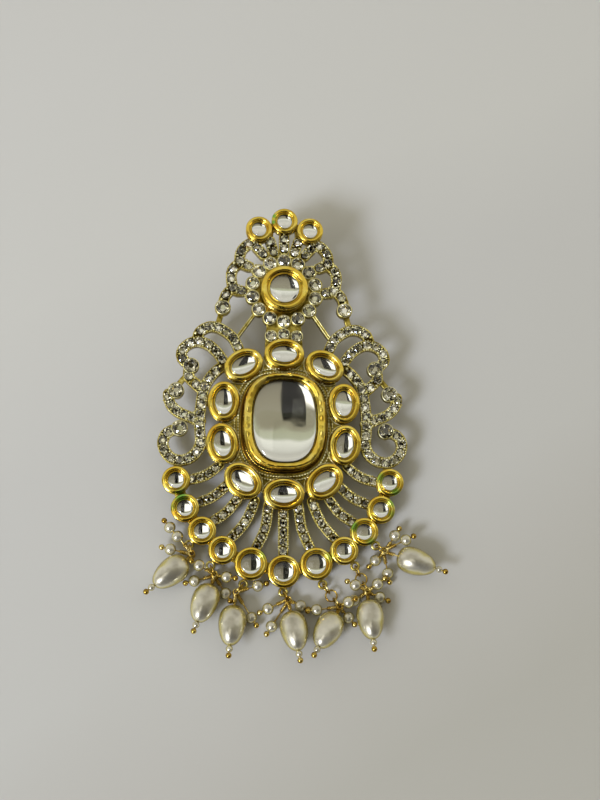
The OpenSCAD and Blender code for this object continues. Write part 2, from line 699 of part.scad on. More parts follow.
rim_stone(10);  // rim_stone_10
rim_stone(11);  // rim_stone_11
pave_crest();
pave_left_scroll();
pave_right_scroll();
pave_ribs();
drop_pearl(1);  // drop_pearl_1
drop_pearl(2);  // drop_pearl_2
drop_pearl(3);  // drop_pearl_3
drop_pearl(4);  // drop_pearl_4
drop_pearl(5);  // drop_pearl_5
drop_pearl(6);  // drop_pearl_6
drop_pearl(7);  // drop_pearl_7
small_pearls(1);  // small_pearls_1
small_pearls(2);  // small_pearls_2
small_pearls(3);  // small_pearls_3
small_pearls(4);  // small_pearls_4
small_pearls(5);  // small_pearls_5
small_pearls(6);  // small_pearls_6
small_pearls(7);  // small_pearls_7
head_pins(1);  // head_pins_1
head_pins(2);  // head_pins_2
head_pins(3);  // head_pins_3
head_pins(4);  // head_pins_4
head_pins(5);  // head_pins_5
head_pins(6);  // head_pins_6
head_pins(7);  // head_pins_7
jump_rings();
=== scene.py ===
"""Kalgi turban ornament lying on a pale table, dressed over its solid model. Metres throughout;
sizes in the sections are in millimetres, on the flat ornament: u across, v up it, w out of its face."""
import math
import bmesh
import bpy
import numpy as np
from mathutils import Matrix, Vector
from mathutils.bvhtree import BVHTree


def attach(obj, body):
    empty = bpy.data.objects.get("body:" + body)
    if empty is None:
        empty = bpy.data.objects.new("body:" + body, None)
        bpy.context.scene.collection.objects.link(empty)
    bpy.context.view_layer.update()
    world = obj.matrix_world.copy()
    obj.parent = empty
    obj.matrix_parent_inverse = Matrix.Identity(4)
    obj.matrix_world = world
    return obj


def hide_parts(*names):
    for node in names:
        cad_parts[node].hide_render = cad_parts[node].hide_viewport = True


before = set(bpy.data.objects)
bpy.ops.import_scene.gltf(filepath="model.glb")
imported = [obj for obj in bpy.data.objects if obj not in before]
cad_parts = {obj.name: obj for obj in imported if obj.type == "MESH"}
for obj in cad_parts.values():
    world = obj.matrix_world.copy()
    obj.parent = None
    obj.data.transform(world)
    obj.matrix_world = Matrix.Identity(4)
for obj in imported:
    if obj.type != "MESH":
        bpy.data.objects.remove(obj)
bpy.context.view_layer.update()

# The table and the light
# The ornament lies on a pale painted table top, in soft light from the lower left. The room is white
# beyond its crest, grey overhead and dim on its near side, with a dark card and a lit panel hung above.

def srgb(hexa, alpha=1.0):
    """A colour written as the sRGB hex of its screen look, turned to linear light."""
    c = np.array([int(hexa[i:i + 2], 16) / 255 for i in (0, 2, 4)])
    c = np.where(c <= 0.04045, c / 12.92, ((c + 0.055) / 1.055) ** 2.4)
    return (*c.tolist(), alpha)

def first_output(source):
    """The first output of a node. Anything else stays as it is."""
    return source.outputs[0] if isinstance(source, bpy.types.Node) else source

def add(tree, kind, inputs=None, stops=None, **settings):
    """Adds one node. settings are its own options, stops a colour ramp's (position, hex), and inputs its
    sockets' values or what feeds them: a socket, or a node for its first output."""
    made = tree.nodes.new(kind)
    for name, value in settings.items():
        setattr(made, name, value)
    for name, value in (inputs or {}).items():
        value = first_output(value)
        if isinstance(value, bpy.types.NodeSocket):
            tree.links.new(value, made.inputs[name])
        else:
            made.inputs[name].default_value = value
    if stops:
        elements = made.color_ramp.elements
        while len(elements) < len(stops):
            elements.new(0.5)
        for element, (place, colour) in zip(elements, stops):
            element.position = place
            element.color = srgb(colour)
    return made

def finish_of(name, colour, **sockets):
    """A material of one physical surface, with its constants on the shader's own sockets. Returns it with its
    nodes, its shader, and the object's own coordinates for its patterns."""
    material = bpy.data.materials.new(name)
    material.use_nodes = True
    tree = material.node_tree
    shader = tree.nodes["Principled BSDF"]
    shader.inputs["Base Color"].default_value = srgb(colour)
    for socket, value in sockets.items():
        shader.inputs[socket.replace("_", " ")].default_value = value
    return material, tree, shader, add(tree, "ShaderNodeTexCoord").outputs["Object"]

def drive(tree, shader, **sources):
    """Lets nodes drive the shader's sockets of those names."""
    for socket, source in sources.items():
        tree.links.new(first_output(source), shader.inputs[socket.replace("_", " ")])

def put_in(name, data):
    """A new object in the scene."""
    made = bpy.data.objects.new(name, data)
    bpy.context.collection.objects.link(made)
    return made

TABLE_Z = -1.2  # underside of the brooch pin's barrels

# Emulsion on board, rolled: matt, with a very slight unevenness of tone. Painted shade greys it towards its
# near right corner.
table_paint, tree, shader, place = finish_of("table_paint", "C6C5C2", Roughness=0.75)
tone = add(tree, "ShaderNodeTexNoise", {"Vector": place, "Scale": 14.0, "Detail": 3.0})
# Painted shade: the board's colour darkens along this direction, towards its near right corner.
near = add(tree, "ShaderNodeVectorMath", {0: place, 1: (0.45, -0.8, 0.0)}, operation="DOT_PRODUCT")
near = add(tree, "ShaderNodeMapRange", {"Value": near.outputs["Value"], "From Min": -0.12, "From Max": 0.1})
uneven_and_shaded = add(tree, "ShaderNodeMath", {0: tone, 1: 0.1, 2: near}, operation="MULTIPLY_ADD")
paint_with_painted_shade = add(tree, "ShaderNodeValToRGB", {"Fac": uneven_and_shaded},
             [(0.05, "CDCBC1"), (0.37, "CBC9BE"), (0.55, "C4C2B8"), (0.78, "C0BEB3"), (0.89, "B9B6AA"),
              (1.0, "B2AFA1")])
grain = add(tree, "ShaderNodeTexNoise", {"Vector": place, "Scale": 900.0, "Detail": 2.0})
bump = add(tree, "ShaderNodeBump", {"Height": grain, "Strength": 0.08, "Distance": 0.0002})
drive(tree, shader, Base_Color=paint_with_painted_shade, Normal=bump)

table = bpy.data.meshes.new("table_top")
half = 2.0  # half the table's side, in metres
corners = [(x * half, y * half, TABLE_Z / 1000) for x, y in ((-1, -1), (1, -1), (1, 1), (-1, 1))]
table.from_pydata(corners, [], [(0, 1, 2, 3)])
table.materials.append(table_paint)
floor = put_in("table_top", table)

room = bpy.data.worlds.new("grey_room")
bpy.context.scene.world = room
room.use_nodes = True
tree = room.node_tree
tree.nodes.clear()
direction = add(tree, "ShaderNodeTexCoord").outputs["Generated"]
x, y, z = add(tree, "ShaderNodeSeparateXYZ", {"Vector": direction}).outputs
towards_crest = add(tree, "ShaderNodeMath", {0: y, 1: 0.5, 2: 0.5}, operation="MULTIPLY_ADD")
walls = add(tree, "ShaderNodeValToRGB", {"Fac": towards_crest},
            [(0.0, "544E43"), (0.3, "625C4F"), (0.4, "8B8574"), (0.5, "A09A86"), (0.537, "A39E89"),
             (0.543, "C0C2A8"), (0.555, "C9CCB6"), (0.563, "FFFFF8"), (0.61, "D9D7D0"), (0.67, "EAE7E0"),
             (1.0, "AFADA4")])

def region(*edges):
    """How far a direction lies in a region of the room: the product of its soft edges. An edge is a value,
    two places that the value goes between, and what the edge is worth at each."""
    inside = None
    for value, start, end, low, high in edges:
        sockets = {"Value": value, "From Min": start, "From Max": end, "To Min": low, "To Max": high}
        edge = add(tree, "ShaderNodeMapRange", sockets, interpolation_type="SMOOTHSTEP")
        if inside is not None:
            edge = add(tree, "ShaderNodeMath", {0: inside, 1: edge}, operation="MULTIPLY")
        inside = edge
    return inside

# The card is a narrow strip overhead that runs to the near side.
beside = add(tree, "ShaderNodeMath", {0: x}, operation="ABSOLUTE")
card = region((beside, 0.072, 0.084, 1.0, 0.0), (y, 0.058, 0.068, 1.0, 0.0), (y, -0.6, -0.5, 0.0, 1.0),
              (z, 0.2, 0.4, 0.0, 1.0))
# The near side is dim. The window glows low on the left, and the lit panel hangs between it and the card.
near = add(tree, "ShaderNodeVectorMath", {0: direction, 1: (0.05, -0.70, 0.71)}, operation="DOT_PRODUCT")
dim = region((near.outputs["Value"], 0.84, 0.95, 1.0, 0.3))
left = add(tree, "ShaderNodeVectorMath", {0: direction, 1: (-0.62, -0.55, 0.56)}, operation="DOT_PRODUCT")
glow = region((left.outputs["Value"], 0.88, 0.93, 0.0, 1.0))
panel = region((x, -0.085, -0.073, 1.0, 0.0), (x, -0.5, -0.4, 0.0, 1.0), (y, -0.01, 0.04, 1.0, 0.0),
               (y, -0.35, -0.25, 0.0, 1.0), (z, 0.0, 0.2, 0.0, 1.0))
glow = add(tree, "ShaderNodeMath", {0: glow, 1: panel}, operation="MAXIMUM")
seen = add(tree, "ShaderNodeMix", {"Factor": glow, 6: walls, 7: srgb("FFFDF6")}, data_type="RGBA").outputs[2]
strength = add(tree, "ShaderNodeMath", {0: card, 1: -0.97, 2: 1.0}, operation="MULTIPLY_ADD")
strength = add(tree, "ShaderNodeMath", {0: strength, 1: dim}, operation="MULTIPLY")
strength = add(tree, "ShaderNodeMath", {0: glow, 1: 0.7, 2: strength}, operation="MULTIPLY_ADD")
ground = add(tree, "ShaderNodeBackground", {"Color": seen, "Strength": strength})
add(tree, "ShaderNodeOutputWorld", {"Surface": ground})

def soft_light(name, towards, distance, size, power, colour):
    """A square soft box at a distance in the direction towards, facing the ornament."""
    lamp = bpy.data.lights.new(name, "AREA")
    lamp.shape = "SQUARE"
    lamp.size = size
    lamp.energy = power
    lamp.color = srgb(colour)[:3]
    box = put_in(name, lamp)
    towards = np.array(towards) / np.linalg.norm(towards)
    box.location = towards * distance
    box.rotation_mode = "QUATERNION"
    box.rotation_quaternion = Vector((-towards).tolist()).to_track_quat("-Z", "Y")

soft_light("window", (-0.55, -0.56, 0.62), distance=1.5, size=0.36, power=16.5, colour="DCE4FF")
bpy.context.scene.view_settings.view_transform = "Standard"

# The camera stands over the near side of the table, a little to the left.
def look(azimuth, elevation, roll, distance, aim, focal):
    """Puts the camera on a ball of radius distance round the point aim and turns it to face that point."""
    a, e, r = (math.radians(x) for x in (azimuth, elevation, roll))
    back = np.array([math.cos(e) * math.sin(a), -math.cos(e) * math.cos(a), math.sin(e)])
    up = np.array([math.sin(r), math.cos(r), 0.0])
    right = np.cross(-back, up)
    right /= np.linalg.norm(right)
    up = np.cross(right, -back)
    eye = bpy.data.cameras.new("camera")
    eye.lens = focal
    eye.sensor_width = 36.0
    eye.clip_start, eye.clip_end = 0.01, 10.0
    camera = put_in("camera", eye)
    turn = Matrix([[right[i], up[i], back[i]] for i in range(3)]).to_4x4()
    turn.translation = (np.array(aim) + back * distance).tolist()
    camera.matrix_world = turn
    bpy.context.scene.camera = camera

look(azimuth=-13.44, elevation=68.18, roll=0.78, distance=0.26104, aim=(0.00461, -0.00353, 0.005),
     focal=43.335)

# The cast openwork plate
# One zinc-alloy casting, plated in pale antique gold: scroll bands with a rail along each edge,
# ribs, a scalloped crest and the pads of the settings. Plating is bright on rails and dark in hollows,
# from toning and from painted shade.

LEAN = math.radians(8.188704)  # between the plate and the table, as it rests on its pin and its lower rim
PIN_V, PIN_DROP = 10.0, 6.4  # the line that it turns about: place up the plate and depth behind it
SEAT_W = 1.55  # height of the settings' undersides

def lay(points):
    """Plate places (u, v, w in mm) leaned back about the X axis and let down on the table, in metres."""
    points = np.asarray(points, float)
    c, s = math.cos(LEAN), math.sin(LEAN)
    y, z = points[..., 1] - PIN_V, points[..., 2] + PIN_DROP
    return np.stack([points[..., 0], y * c - z * s, y * s + z * c], -1) / 1000

def unlay(points):
    """The way back: places in metres turned to plate places in mm."""
    x, y, z = (np.asarray(points, float) * 1000).T
    c, s = math.cos(LEAN), math.sin(LEAN)
    return np.stack([x, y * c + z * s + PIN_V, -y * s + z * c - PIN_DROP], -1)

# Zinc alloy, cast, flash-plated with pale gold and toned: a satin skin with a fine sandy grain,
# lighter where the rails are worn, olive-brown in the channels, where the toning stays and painted shade
# darkens it further.
antique_gold, tree, shader, place = finish_of("antique_gold_plated_casting", "D6C67C", Metallic=1.0,
                                              Roughness=0.28, Coat_Weight=0.15, Coat_Roughness=0.12)
height = add(tree, "ShaderNodeAttribute", attribute_name="rubbed_and_shaded").outputs["Fac"]
cloud = add(tree, "ShaderNodeTexNoise", {"Vector": place, "Scale": 900.0, "Detail": 4.0, "Roughness": 0.6})
tone = add(tree, "ShaderNodeMath", {0: cloud, 1: 1.3, 2: -0.65}, operation="MULTIPLY_ADD")
tone = add(tree, "ShaderNodeMath", {0: height, 1: tone}, operation="ADD")
colour = add(tree, "ShaderNodeValToRGB", {"Fac": tone},
             [(0.0, "3A2C0C"), (0.3, "74631F"), (0.62, "B5A146"), (0.85, "E6DB86"), (1.0, "F8F1BC")])
grain = add(tree, "ShaderNodeTexNoise", {"Vector": place, "Scale": 5200.0, "Detail": 3.0})
dull = add(tree, "ShaderNodeMapRange", {"Value": grain, "To Min": 0.2, "To Max": 0.42})
bump = add(tree, "ShaderNodeBump", {"Height": grain, "Strength": 0.25, "Distance": 0.00006})
drive(tree, shader, Base_Color=colour, Roughness=dull, Normal=bump)

def dress(name, mesh, materials, node_names):
    """Gives a mesh its materials, puts it in the scene on the root body and hides the solids that it stands
    for.
    """
    for material in materials:
        mesh.materials.append(material)
    piece = put_in(name, mesh)
    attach(piece, "root")
    if node_names:
        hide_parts(*node_names)
    return piece

def places_of(mesh):
    """Plate places of a mesh's points, in mm."""
    co = np.empty(len(mesh.vertices) * 3)
    mesh.vertices.foreach_get("co", co)
    return unlay(co.reshape(-1, 3))

def write_on(mesh, name, value):
    """Writes one number to each point of a mesh: value is a function of their plate places in mm."""
    number = value(places_of(mesh))
    mesh.attributes.new(name, "FLOAT", "POINT").data.foreach_set("value", np.asarray(number, np.float32))

def write_by_height(mesh, name, heights, numbers, foot=0.0):
    """Writes a number that follows the height over foot, in mm."""
    write_on(mesh, name, lambda p: np.interp(p[:, 2] - foot, heights, numbers))

def merged_copy(name, node):
    """A smooth copy of a solid node's mesh with its doubled points merged, and its surface for ray casts."""
    shell = bmesh.new()
    shell.from_mesh(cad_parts[node].data)
    bmesh.ops.remove_doubles(shell, verts=shell.verts, dist=2e-7)
    mesh = bpy.data.meshes.new(name)
    shell.to_mesh(mesh)
    surface = BVHTree.FromBMesh(shell)
    shell.free()
    mesh.shade_smooth()
    return mesh, surface

def soften(piece, width, clamped):
    """Rounds a piece's arrises to a width in metres, as casting and polishing leave them."""
    rounding = piece.modifiers.new("soft_arrises", "BEVEL")
    rounding.width = width
    rounding.segments = 2
    rounding.limit_method = "ANGLE"
    rounding.angle_limit = math.radians(38)
    rounding.harden_normals = True
    rounding.use_clamp_overlap = clamped

# Middles (u, v) of the soldered eyes under the rim, which the jump rings keep bright.
EYES_RIGHT = [(10.2, -42.0), (18.7, -37.3), (24.2, -32.0)]
EYES = [(-u, v) for u, v in EYES_RIGHT[::-1]] + [(0, -43.9)] + EYES_RIGHT
EYE_REACH = 1.45
STEM_U, STEM_V, STEM_REACH = 26.7, 10.8, 1.6  # the bare stem to a middle scroll's large stone

def rubbed_and_shaded_places(p):
    """Bright on the rails, dark on the channels' floors from toning and painted shade, and bright again on
    the eyes and the bare stems.
    """
    u, v, w = p.T
    # Painted shade: the channels' floors are darkened for the shade in them, over their real toning.
    by_height = np.interp(w, [0, 1.1, 1.25, 1.5, 1.9], [0.5, 0.3, 0.0, 0.45, 0.62])
    from_eye = np.min([np.hypot(u - a, v - b) for a, b in EYES], axis=0)
    rubbed_and_shaded = np.where(from_eye < EYE_REACH, 0.7, by_height)
    from_stem = np.hypot(np.abs(u) - STEM_U, v - STEM_V)
    return np.where(from_stem < STEM_REACH, np.maximum(rubbed_and_shaded, 0.62), rubbed_and_shaded)

mesh, surface = merged_copy("openwork_casting", "openwork_frame")
write_on(mesh, "rubbed_and_shaded", rubbed_and_shaded_places)
casting = dress("openwork_casting", mesh, [antique_gold], ["openwork_frame"])
soften(casting, 0.00009, False)

# Small round beads of metal, raised from the rails with a graver, hold every cut stone from
# both sides. The rails are milgrained along the stones, and grains fill the channels' ends.

def turn_outwards(mesh, merge=None):
    """Turns a mesh's faces outwards. Its points are first merged within the distance merge, in metres."""
    shell = bmesh.new()
    shell.from_mesh(mesh)
    if merge:
        bmesh.ops.remove_doubles(shell, verts=shell.verts, dist=merge)
    bmesh.ops.recalc_face_normals(shell, faces=shell.faces)
    shell.to_mesh(mesh)
    shell.free()

def skin(name, grids, row_material=0, sharp=None):
    """One mesh from grids of places (copies, rows, columns, 3): a quad between every two rows and
    two columns, columns closed on themselves; doubled points at poles merged, faces turned outwards."""
    grids = np.asarray(grids, float)
    grids = grids[None] if grids.ndim == 3 else grids
    index = np.arange(grids[..., 0].size).reshape(grids.shape[:3])
    a, d = index[:, :-1], index[:, 1:]
    faces = np.stack([a, np.roll(a, -1, 2), np.roll(d, -1, 2), d], -1)
    which = np.broadcast_to(np.reshape(row_material, (1, -1, 1)), a.shape)
    mesh = bpy.data.meshes.new(name)
    mesh.from_pydata(grids.reshape(-1, 3).tolist(), [], faces.reshape(-1, 4).tolist())
    mesh.polygons.foreach_set("material_index", which.astype(np.int32).ravel())
    turn_outwards(mesh, 1e-8)
    mesh.shade_smooth()
    if sharp:
        mesh.set_sharp_from_angle(angle=math.radians(sharp))
    return mesh

def ball_of(radii, rows, columns):
    """A ball drawn out to three half sizes: x = a sin p cos t, y = b sin p sin t, z = c cos p."""
    p = np.linspace(math.pi, 0, rows)[:, None]
    t = 2 * math.pi * np.arange(columns)[None] / columns
    unit = np.stack([np.sin(p) * np.cos(t), np.sin(p) * np.sin(t), np.cos(p) + 0 * t], -1)
    return unit * np.asarray(radii)

def ring_shape(radius, wire, rows=40, sides=10):
    """A ring about z, its first row met again at the end: x = (R + r cos q) cos t, y = (R + r cos q) sin t,
    z = r sin q."""
    t = np.linspace(0, 2 * math.pi, rows + 1)[:, None]
    q = 2 * math.pi * np.arange(sides) / sides
    r = radius + wire / 2 * np.cos(q)
    return np.stack([r * np.cos(t), r * np.sin(t), wire / 2 * np.sin(q) + 0 * t], -1)

def wire_along(path, radius, sides=10):
    """A round wire carried along a path, its section turned square to the path's direction at every
    point; the ends are drawn in to a point, which closes them."""
    path = np.asarray(path, float)
    ahead = np.gradient(path, axis=0)
    ahead /= np.linalg.norm(ahead, axis=1)[:, None]
    guide = np.array([0.31, 0.17, 0.93])
    over = np.cross(ahead, guide)
    over /= np.linalg.norm(over, axis=1)[:, None]
    beside = np.cross(ahead, over)
    k = 2 * math.pi * np.arange(sides) / sides
    outwards = np.cos(k)[:, None] * over[:, None] + np.sin(k)[:, None] * beside[:, None]
    tube = path[:, None] + radius * outwards
    return np.concatenate([path[:1, None] + 0 * tube[:1], tube, path[-1:, None] + 0 * tube[:1]])

STONE_TRIANGLES = 28  # triangles to a stone in the solids
LARGE_R = 1.15  # a stone with a greater radius is a large one
NEIGHBOUR_GAP = 0.95  # stones nearer than this follow each other in a row
BEAD_W, BEAD_OUT, MILGRAIN_OUT = 1.88, 0.86, 1.3  # height of the two kinds of bead and their places off a row
GRAIN_W, GRAIN_GAP = 1.62, 0.66  # height of an end grain and its place past the last stone
FLOOR_LOW, FLOOR_HIGH = 1.0, 1.35  # heights between which a channel's floor lies

def stones_of(node):
    """Middle (u, v) and radius of every plain stone in a solid node, from its triangles."""
    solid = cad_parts[node].data
    corner = np.empty(len(solid.loops), int)
    solid.loops.foreach_get("vertex_index", corner)
    each = places_of(solid)[corner].reshape(-1, 3 * STONE_TRIANGLES, 3)
    low, high = each.min(1), each.max(1)
    return np.column_stack([(low + high)[:, :2] / 2, (high - low)[:, 0] / 2])

STONE_NODES = ("pave_crest", "pave_left_scroll", "pave_right_scroll", "pave_ribs")
rows_of_stones = {name: stones_of(name) for name in STONE_NODES}
for name, side in (("pave_left_scroll", -1), ("pave_right_scroll", 1)):
    # The row of a middle scroll ends in one more small stone, beside its large one.
    rows_of_stones[name] = np.concatenate([rows_of_stones[name], [(side * 31.1, 6.85, 0.92)]])
every_stone = np.concatenate(list(rows_of_stones.values()))
away = every_stone[None, :, :2] - every_stone[:, None, :2]
apart = np.hypot(*np.moveaxis(away, -1, 0)) - every_stone[:, None, 2] - every_stone[None, :, 2]
first, second = np.nonzero(np.triu(apart < NEIGHBOUR_GAP, 1))
span = np.linalg.norm(away[first, second], axis=1)[:, None]
line = away[first, second] / span
side = np.stack([line[:, 1], -line[:, 0]], 1)
reach = every_stone[first, 2] + apart[first, second] / 2
middle = every_stone[first, :2] + line * reach[:, None]
beads = np.concatenate([middle + side * BEAD_OUT, middle - side * BEAD_OUT])
beads = np.column_stack([beads, np.full(len(beads), BEAD_W)])
neighbours = np.bincount(np.concatenate([first, second]), minlength=len(every_stone))
both_ways = [*zip(first, second), *zip(second, first)]
last = [(k, m) for k, m in both_ways if neighbours[k] == 1 and every_stone[k, 2] < LARGE_R]
ends = []
for k, m in last:
    # A grain goes past the row's last stone only where a ray from above meets the channel's floor.
    out = every_stone[k, :2] - every_stone[m, :2]
    spot = every_stone[k, :2] + out / np.linalg.norm(out) * (every_stone[k, 2] + GRAIN_GAP)
    above, below = lay([(*spot, 4.0), (*spot, 0.0)])
    hit = surface.ray_cast(above.tolist(), (below - above).tolist())[0]
    if hit is not None and FLOOR_LOW < unlay([tuple(hit)])[0, 2] < FLOOR_HIGH:
        ends.append((*spot, GRAIN_W))
grains = [every_stone[first, :2] + line * t * span + side * d
          for t in (0.0, 0.25, 0.5, 0.75) for d in (-MILGRAIN_OUT, MILGRAIN_OUT)]
grains = np.concatenate(grains)
grains = np.column_stack([grains, np.full(len(grains), BEAD_W)])

def trim(name, grids, heights, rubbed_and_shaded):
    """Makes fine trim of the casting that the solids leave out, brighter with its height in mm: worn on top,
    toned and darkened by painted shade at its foot.
    """
    mesh = skin(name, grids)
    # Painted shade darkens the trim's foot, where it meets the plate.
    write_by_height(mesh, "rubbed_and_shaded", heights, rubbed_and_shaded)
    dress(name, mesh, [antique_gold], [])

for name, ball, places in (("bead_prongs", ball_of((0.32, 0.32, 0.4), 9, 12), beads),
                           ("milgrain", ball_of((0.2, 0.2, 0.2), 6, 7), grains),
                           ("end_grains", ball_of((0.5, 0.5, 0.42), 9, 12), np.array(ends))):
    trim(name, lay(ball[None] + places[:, None, None]), [1.5, 2.1], [0.2, 0.95])

# The larger stones have a thin wire of their own round the girdle; the two rods from the crest to the
# scrolls are fluted, cast as two half-round wires side by side.
large = every_stone[every_stone[:, 2] > LARGE_R]
rims = [lay(ring_shape(r + 0.33, 0.3, 36, 8) + (u, v, 1.84)) for u, v, r in large]
trim("stone_rims", rims, [1.7, 1.95], [0.3, 1.0])
start, end = np.array([7.6, 31.2]), np.array([12.9, 23.4])  # of the right rod, on the plate
beside = np.array([end[1] - start[1], start[0] - end[0]]) / np.linalg.norm(end - start)
flutes = []
for shift in (-0.3, 0.3):
    path = np.linspace(start, end, 12) + shift * beside
    path = np.column_stack([path, np.full(12, 1.46)])
    flutes += [lay(wire_along(path, 0.2)), lay(wire_along(path * (-1, 1, 1), 0.2))]
trim("fluted_rods", flutes, [1.4, 1.7], [0.2, 1.0])

# The rows of cut stones
# Chatons: small brilliants of lead glass, machine-cut and foiled behind, dropped in the channels
# and held by the beads. Each sits a little turned and tipped, so that each flashes differently.

# Lead glass, machine-cut and polished: clear, with hard bright facets.
cut_glass = finish_of("lead_glass_cut", "F6F6F2", Roughness=0.015, IOR=1.62, Transmission_Weight=1.0)[0]
# Silver foil, fused behind the glass: a mirror, with some facets painted half dark to near black as painted
# reflections of the dark room, so that the stones sparkle in small hard patches of white and near black.
stone_foil, tree, shader = finish_of("silver_foil_backing", "F4F4F0", Metallic=1.0, Roughness=0.05)[:3]
shade_of_facet = add(tree, "ShaderNodeAttribute", attribute_name="painted_facet_shade").outputs["Fac"]
foil_and_facet_shade = add(tree, "ShaderNodeValToRGB", {"Fac": shade_of_facet}, [(0.0, "FCFAEE"), (0.5, "C2BD9E"), (1.0, "464132")])
drive(tree, shader, Base_Color=foil_and_facet_shade)

def brilliant():
    """A brilliant of radius 1, its girdle at height 0. The crown has a table of 8 corners, 8 points half way
    down and 16 on the girdle; the pavilion has 8 points half way and a small flat end. Returns corners,
    facets and the facets' materials (0 glass crown, 1 foiled pavilion)."""
    def turn(k, r, z):
        """Points at the angles k on a circle of radius r at height z."""
        return np.stack([r * np.cos(k), r * np.sin(k), z + 0 * k], -1)
    eight, sixteen = np.arange(8), np.arange(16)
    corners = np.concatenate([turn(eight * math.pi / 4, 0.58, 0.28),
                              turn((eight + 0.5) * math.pi / 4, 0.81, 0.17),
                              turn(sixteen * math.pi / 8, 1.0, 0.0),
                              turn((eight + 0.5) * math.pi / 4, 0.62, -0.35),
                              turn(eight * math.pi / 4, 0.38, -0.53)])
    facets = [list(range(8)), list(range(40, 48))]
    for i in range(8):
        j, mid, before, main, half = (i + 1) % 8, 8 + i, 8 + (i - 1) % 8, 16 + 2 * i, 17 + 2 * i
        after, low, low_before = 16 + 2 * j, 32 + i, 32 + (i - 1) % 8
        facets += [[i, mid, j], [i, before, main, mid], [mid, main, half], [mid, half, after]]
        facets += [[main, low, half], [half, low, after]]
        facets += [[main, low_before, 40 + i, low], [low, 40 + i, 40 + j]]
    kinds = [0, 1] + [0, 0, 0, 0, 1, 1, 1, 1] * 8
    return corners, facets, kinds

def cut_stones(name, stones, node, seed):
    """Sets a brilliant on every (u, v, radius), each turned about its axis and tipped by a few degrees."""
    corners, facets, kinds = brilliant()
    dice = np.random.default_rng(seed)
    spin = dice.uniform(0, math.pi / 4, len(stones))
    tip = dice.normal(0, 0.06, (len(stones), 2))
    c, s = np.cos(spin)[:, None], np.sin(spin)[:, None]
    x, y, z = corners.T
    r = stones[:, 2:3] + np.where(stones[:, 2:3] > LARGE_R, 0.2, 0.14)  # larger than in the solids
    girdle = 1.26 + 0.53 * r  # the flat end stands 0.06 over the channel's floor
    u, v = r * (c * x - s * y), r * (s * x + c * y)
    w = r * z + u * tip[:, :1] + v * tip[:, 1:]
    places = np.stack([stones[:, :1] + u, stones[:, 1:2] + v, girdle + w], -1)
    step = np.arange(len(stones)) * len(corners)
    mesh = bpy.data.meshes.new(name)
    faces = [[k + o for k in f] for o in step for f in facets]
    mesh.from_pydata(lay(places).reshape(-1, 3).tolist(), [], faces)
    mesh.polygons.foreach_set("material_index", np.tile(kinds, len(stones)).astype(np.int32))
    turn_outwards(mesh)
    # Painted reflection: each facet of the foil is drawn bright, half dark or near black, for the dark room
    # seen in it.
    facet_shade_drawn = dice.choice([0.0, 0.5, 1.0], len(mesh.polygons), p=[0.55, 0.23, 0.22])
    mesh.attributes.new("painted_facet_shade", "FLOAT", "FACE").data.foreach_set("value", facet_shade_drawn.astype(np.float32))
    dress(name, mesh, [cut_glass, stone_foil], [node])

for seed, (node, stones) in enumerate(rows_of_stones.items()):
    cut_stones(node.replace("pave", "cut_stones"), stones, node, seed + 11)

# The cups
# Thin brass cups, pressed and gold-plated, with a rolled crown that slopes in to hold the stone.
# Three stand on the crest's top, one in its ring, ten ovals round the centre, eleven on the lower rim.

# Bright gold plating on pressed brass: a deep yellow mirror, faintly wavy from the press and
# scratched by handling; the hue runs a little from lemon to orange, and painted shade browns it low on the
# walls.
polished_gold, tree, shader, place = finish_of("bright_gold_plated_brass", "EDC452", Metallic=1.0,
                                               Roughness=0.12, Coat_Weight=0.18, Coat_Roughness=0.06)
cloud = add(tree, "ShaderNodeTexNoise", {"Vector": place, "Scale": 260.0, "Detail": 3.0})
hue = add(tree, "ShaderNodeValToRGB", {"Fac": cloud}, [(0.25, "D8AA34"), (0.5, "E5C850"), (0.75, "F2DF80")])
glint = add(tree, "ShaderNodeAttribute", attribute_name="green_glint").outputs["Fac"]
hue = add(tree, "ShaderNodeMix", {"Factor": glint, 6: hue, 7: srgb("6DB04A")}, data_type="RGBA").outputs[2]
unshaded = add(tree, "ShaderNodeAttribute", attribute_name="unshaded").outputs["Fac"]
# Painted shade: this brown darkens the cups' walls, between the bright crown and the foot bead.
hue = add(tree, "ShaderNodeMix", {"Factor": unshaded, 6: srgb("53340C"), 7: hue}, data_type="RGBA").outputs[2]
scratch = add(tree, "ShaderNodeTexNoise", {"Vector": place, "Scale": 3000.0, "Detail": 4.0, "Roughness": 0.7})
dull = add(tree, "ShaderNodeMapRange", {"Value": scratch, "To Min": 0.05, "To Max": 0.2})
wave = add(tree, "ShaderNodeTexNoise", {"Vector": place, "Scale": 900.0, "Detail": 1.0})
bump = add(tree, "ShaderNodeBump", {"Height": wave, "Strength": 0.35, "Distance": 0.00008})
drive(tree, shader, Base_Color=hue, Roughness=dull, Normal=bump)

def ring_of(half_a, half_b, squareness, profile, count, ends=1.0):
    """A profile carried round an outline. The outline is x = a sgn(cos t)|cos t|^(2/n) and y likewise with
    b and sin t; every profile row (inset, height) draws it in by inset and lifts it to height. The two ends
    are drawn in by the share ends of the inset."""
    t = 2 * math.pi * (np.arange(count) + 0.5) / count
    c, s = np.cos(t), np.sin(t)
    unit_x, unit_y = (np.sign(k) * np.abs(k) ** (2 / squareness) for k in (c, s))
    inset, height = (np.asarray(k, float)[:, None] for k in zip(*profile))
    return np.stack([np.maximum(half_a - inset, 0) * unit_x, np.maximum(half_b - ends * inset, 0) * unit_y,
                     height + 0 * unit_x], -1)

POLE = 99.0  # an inset that draws a row in to the middle

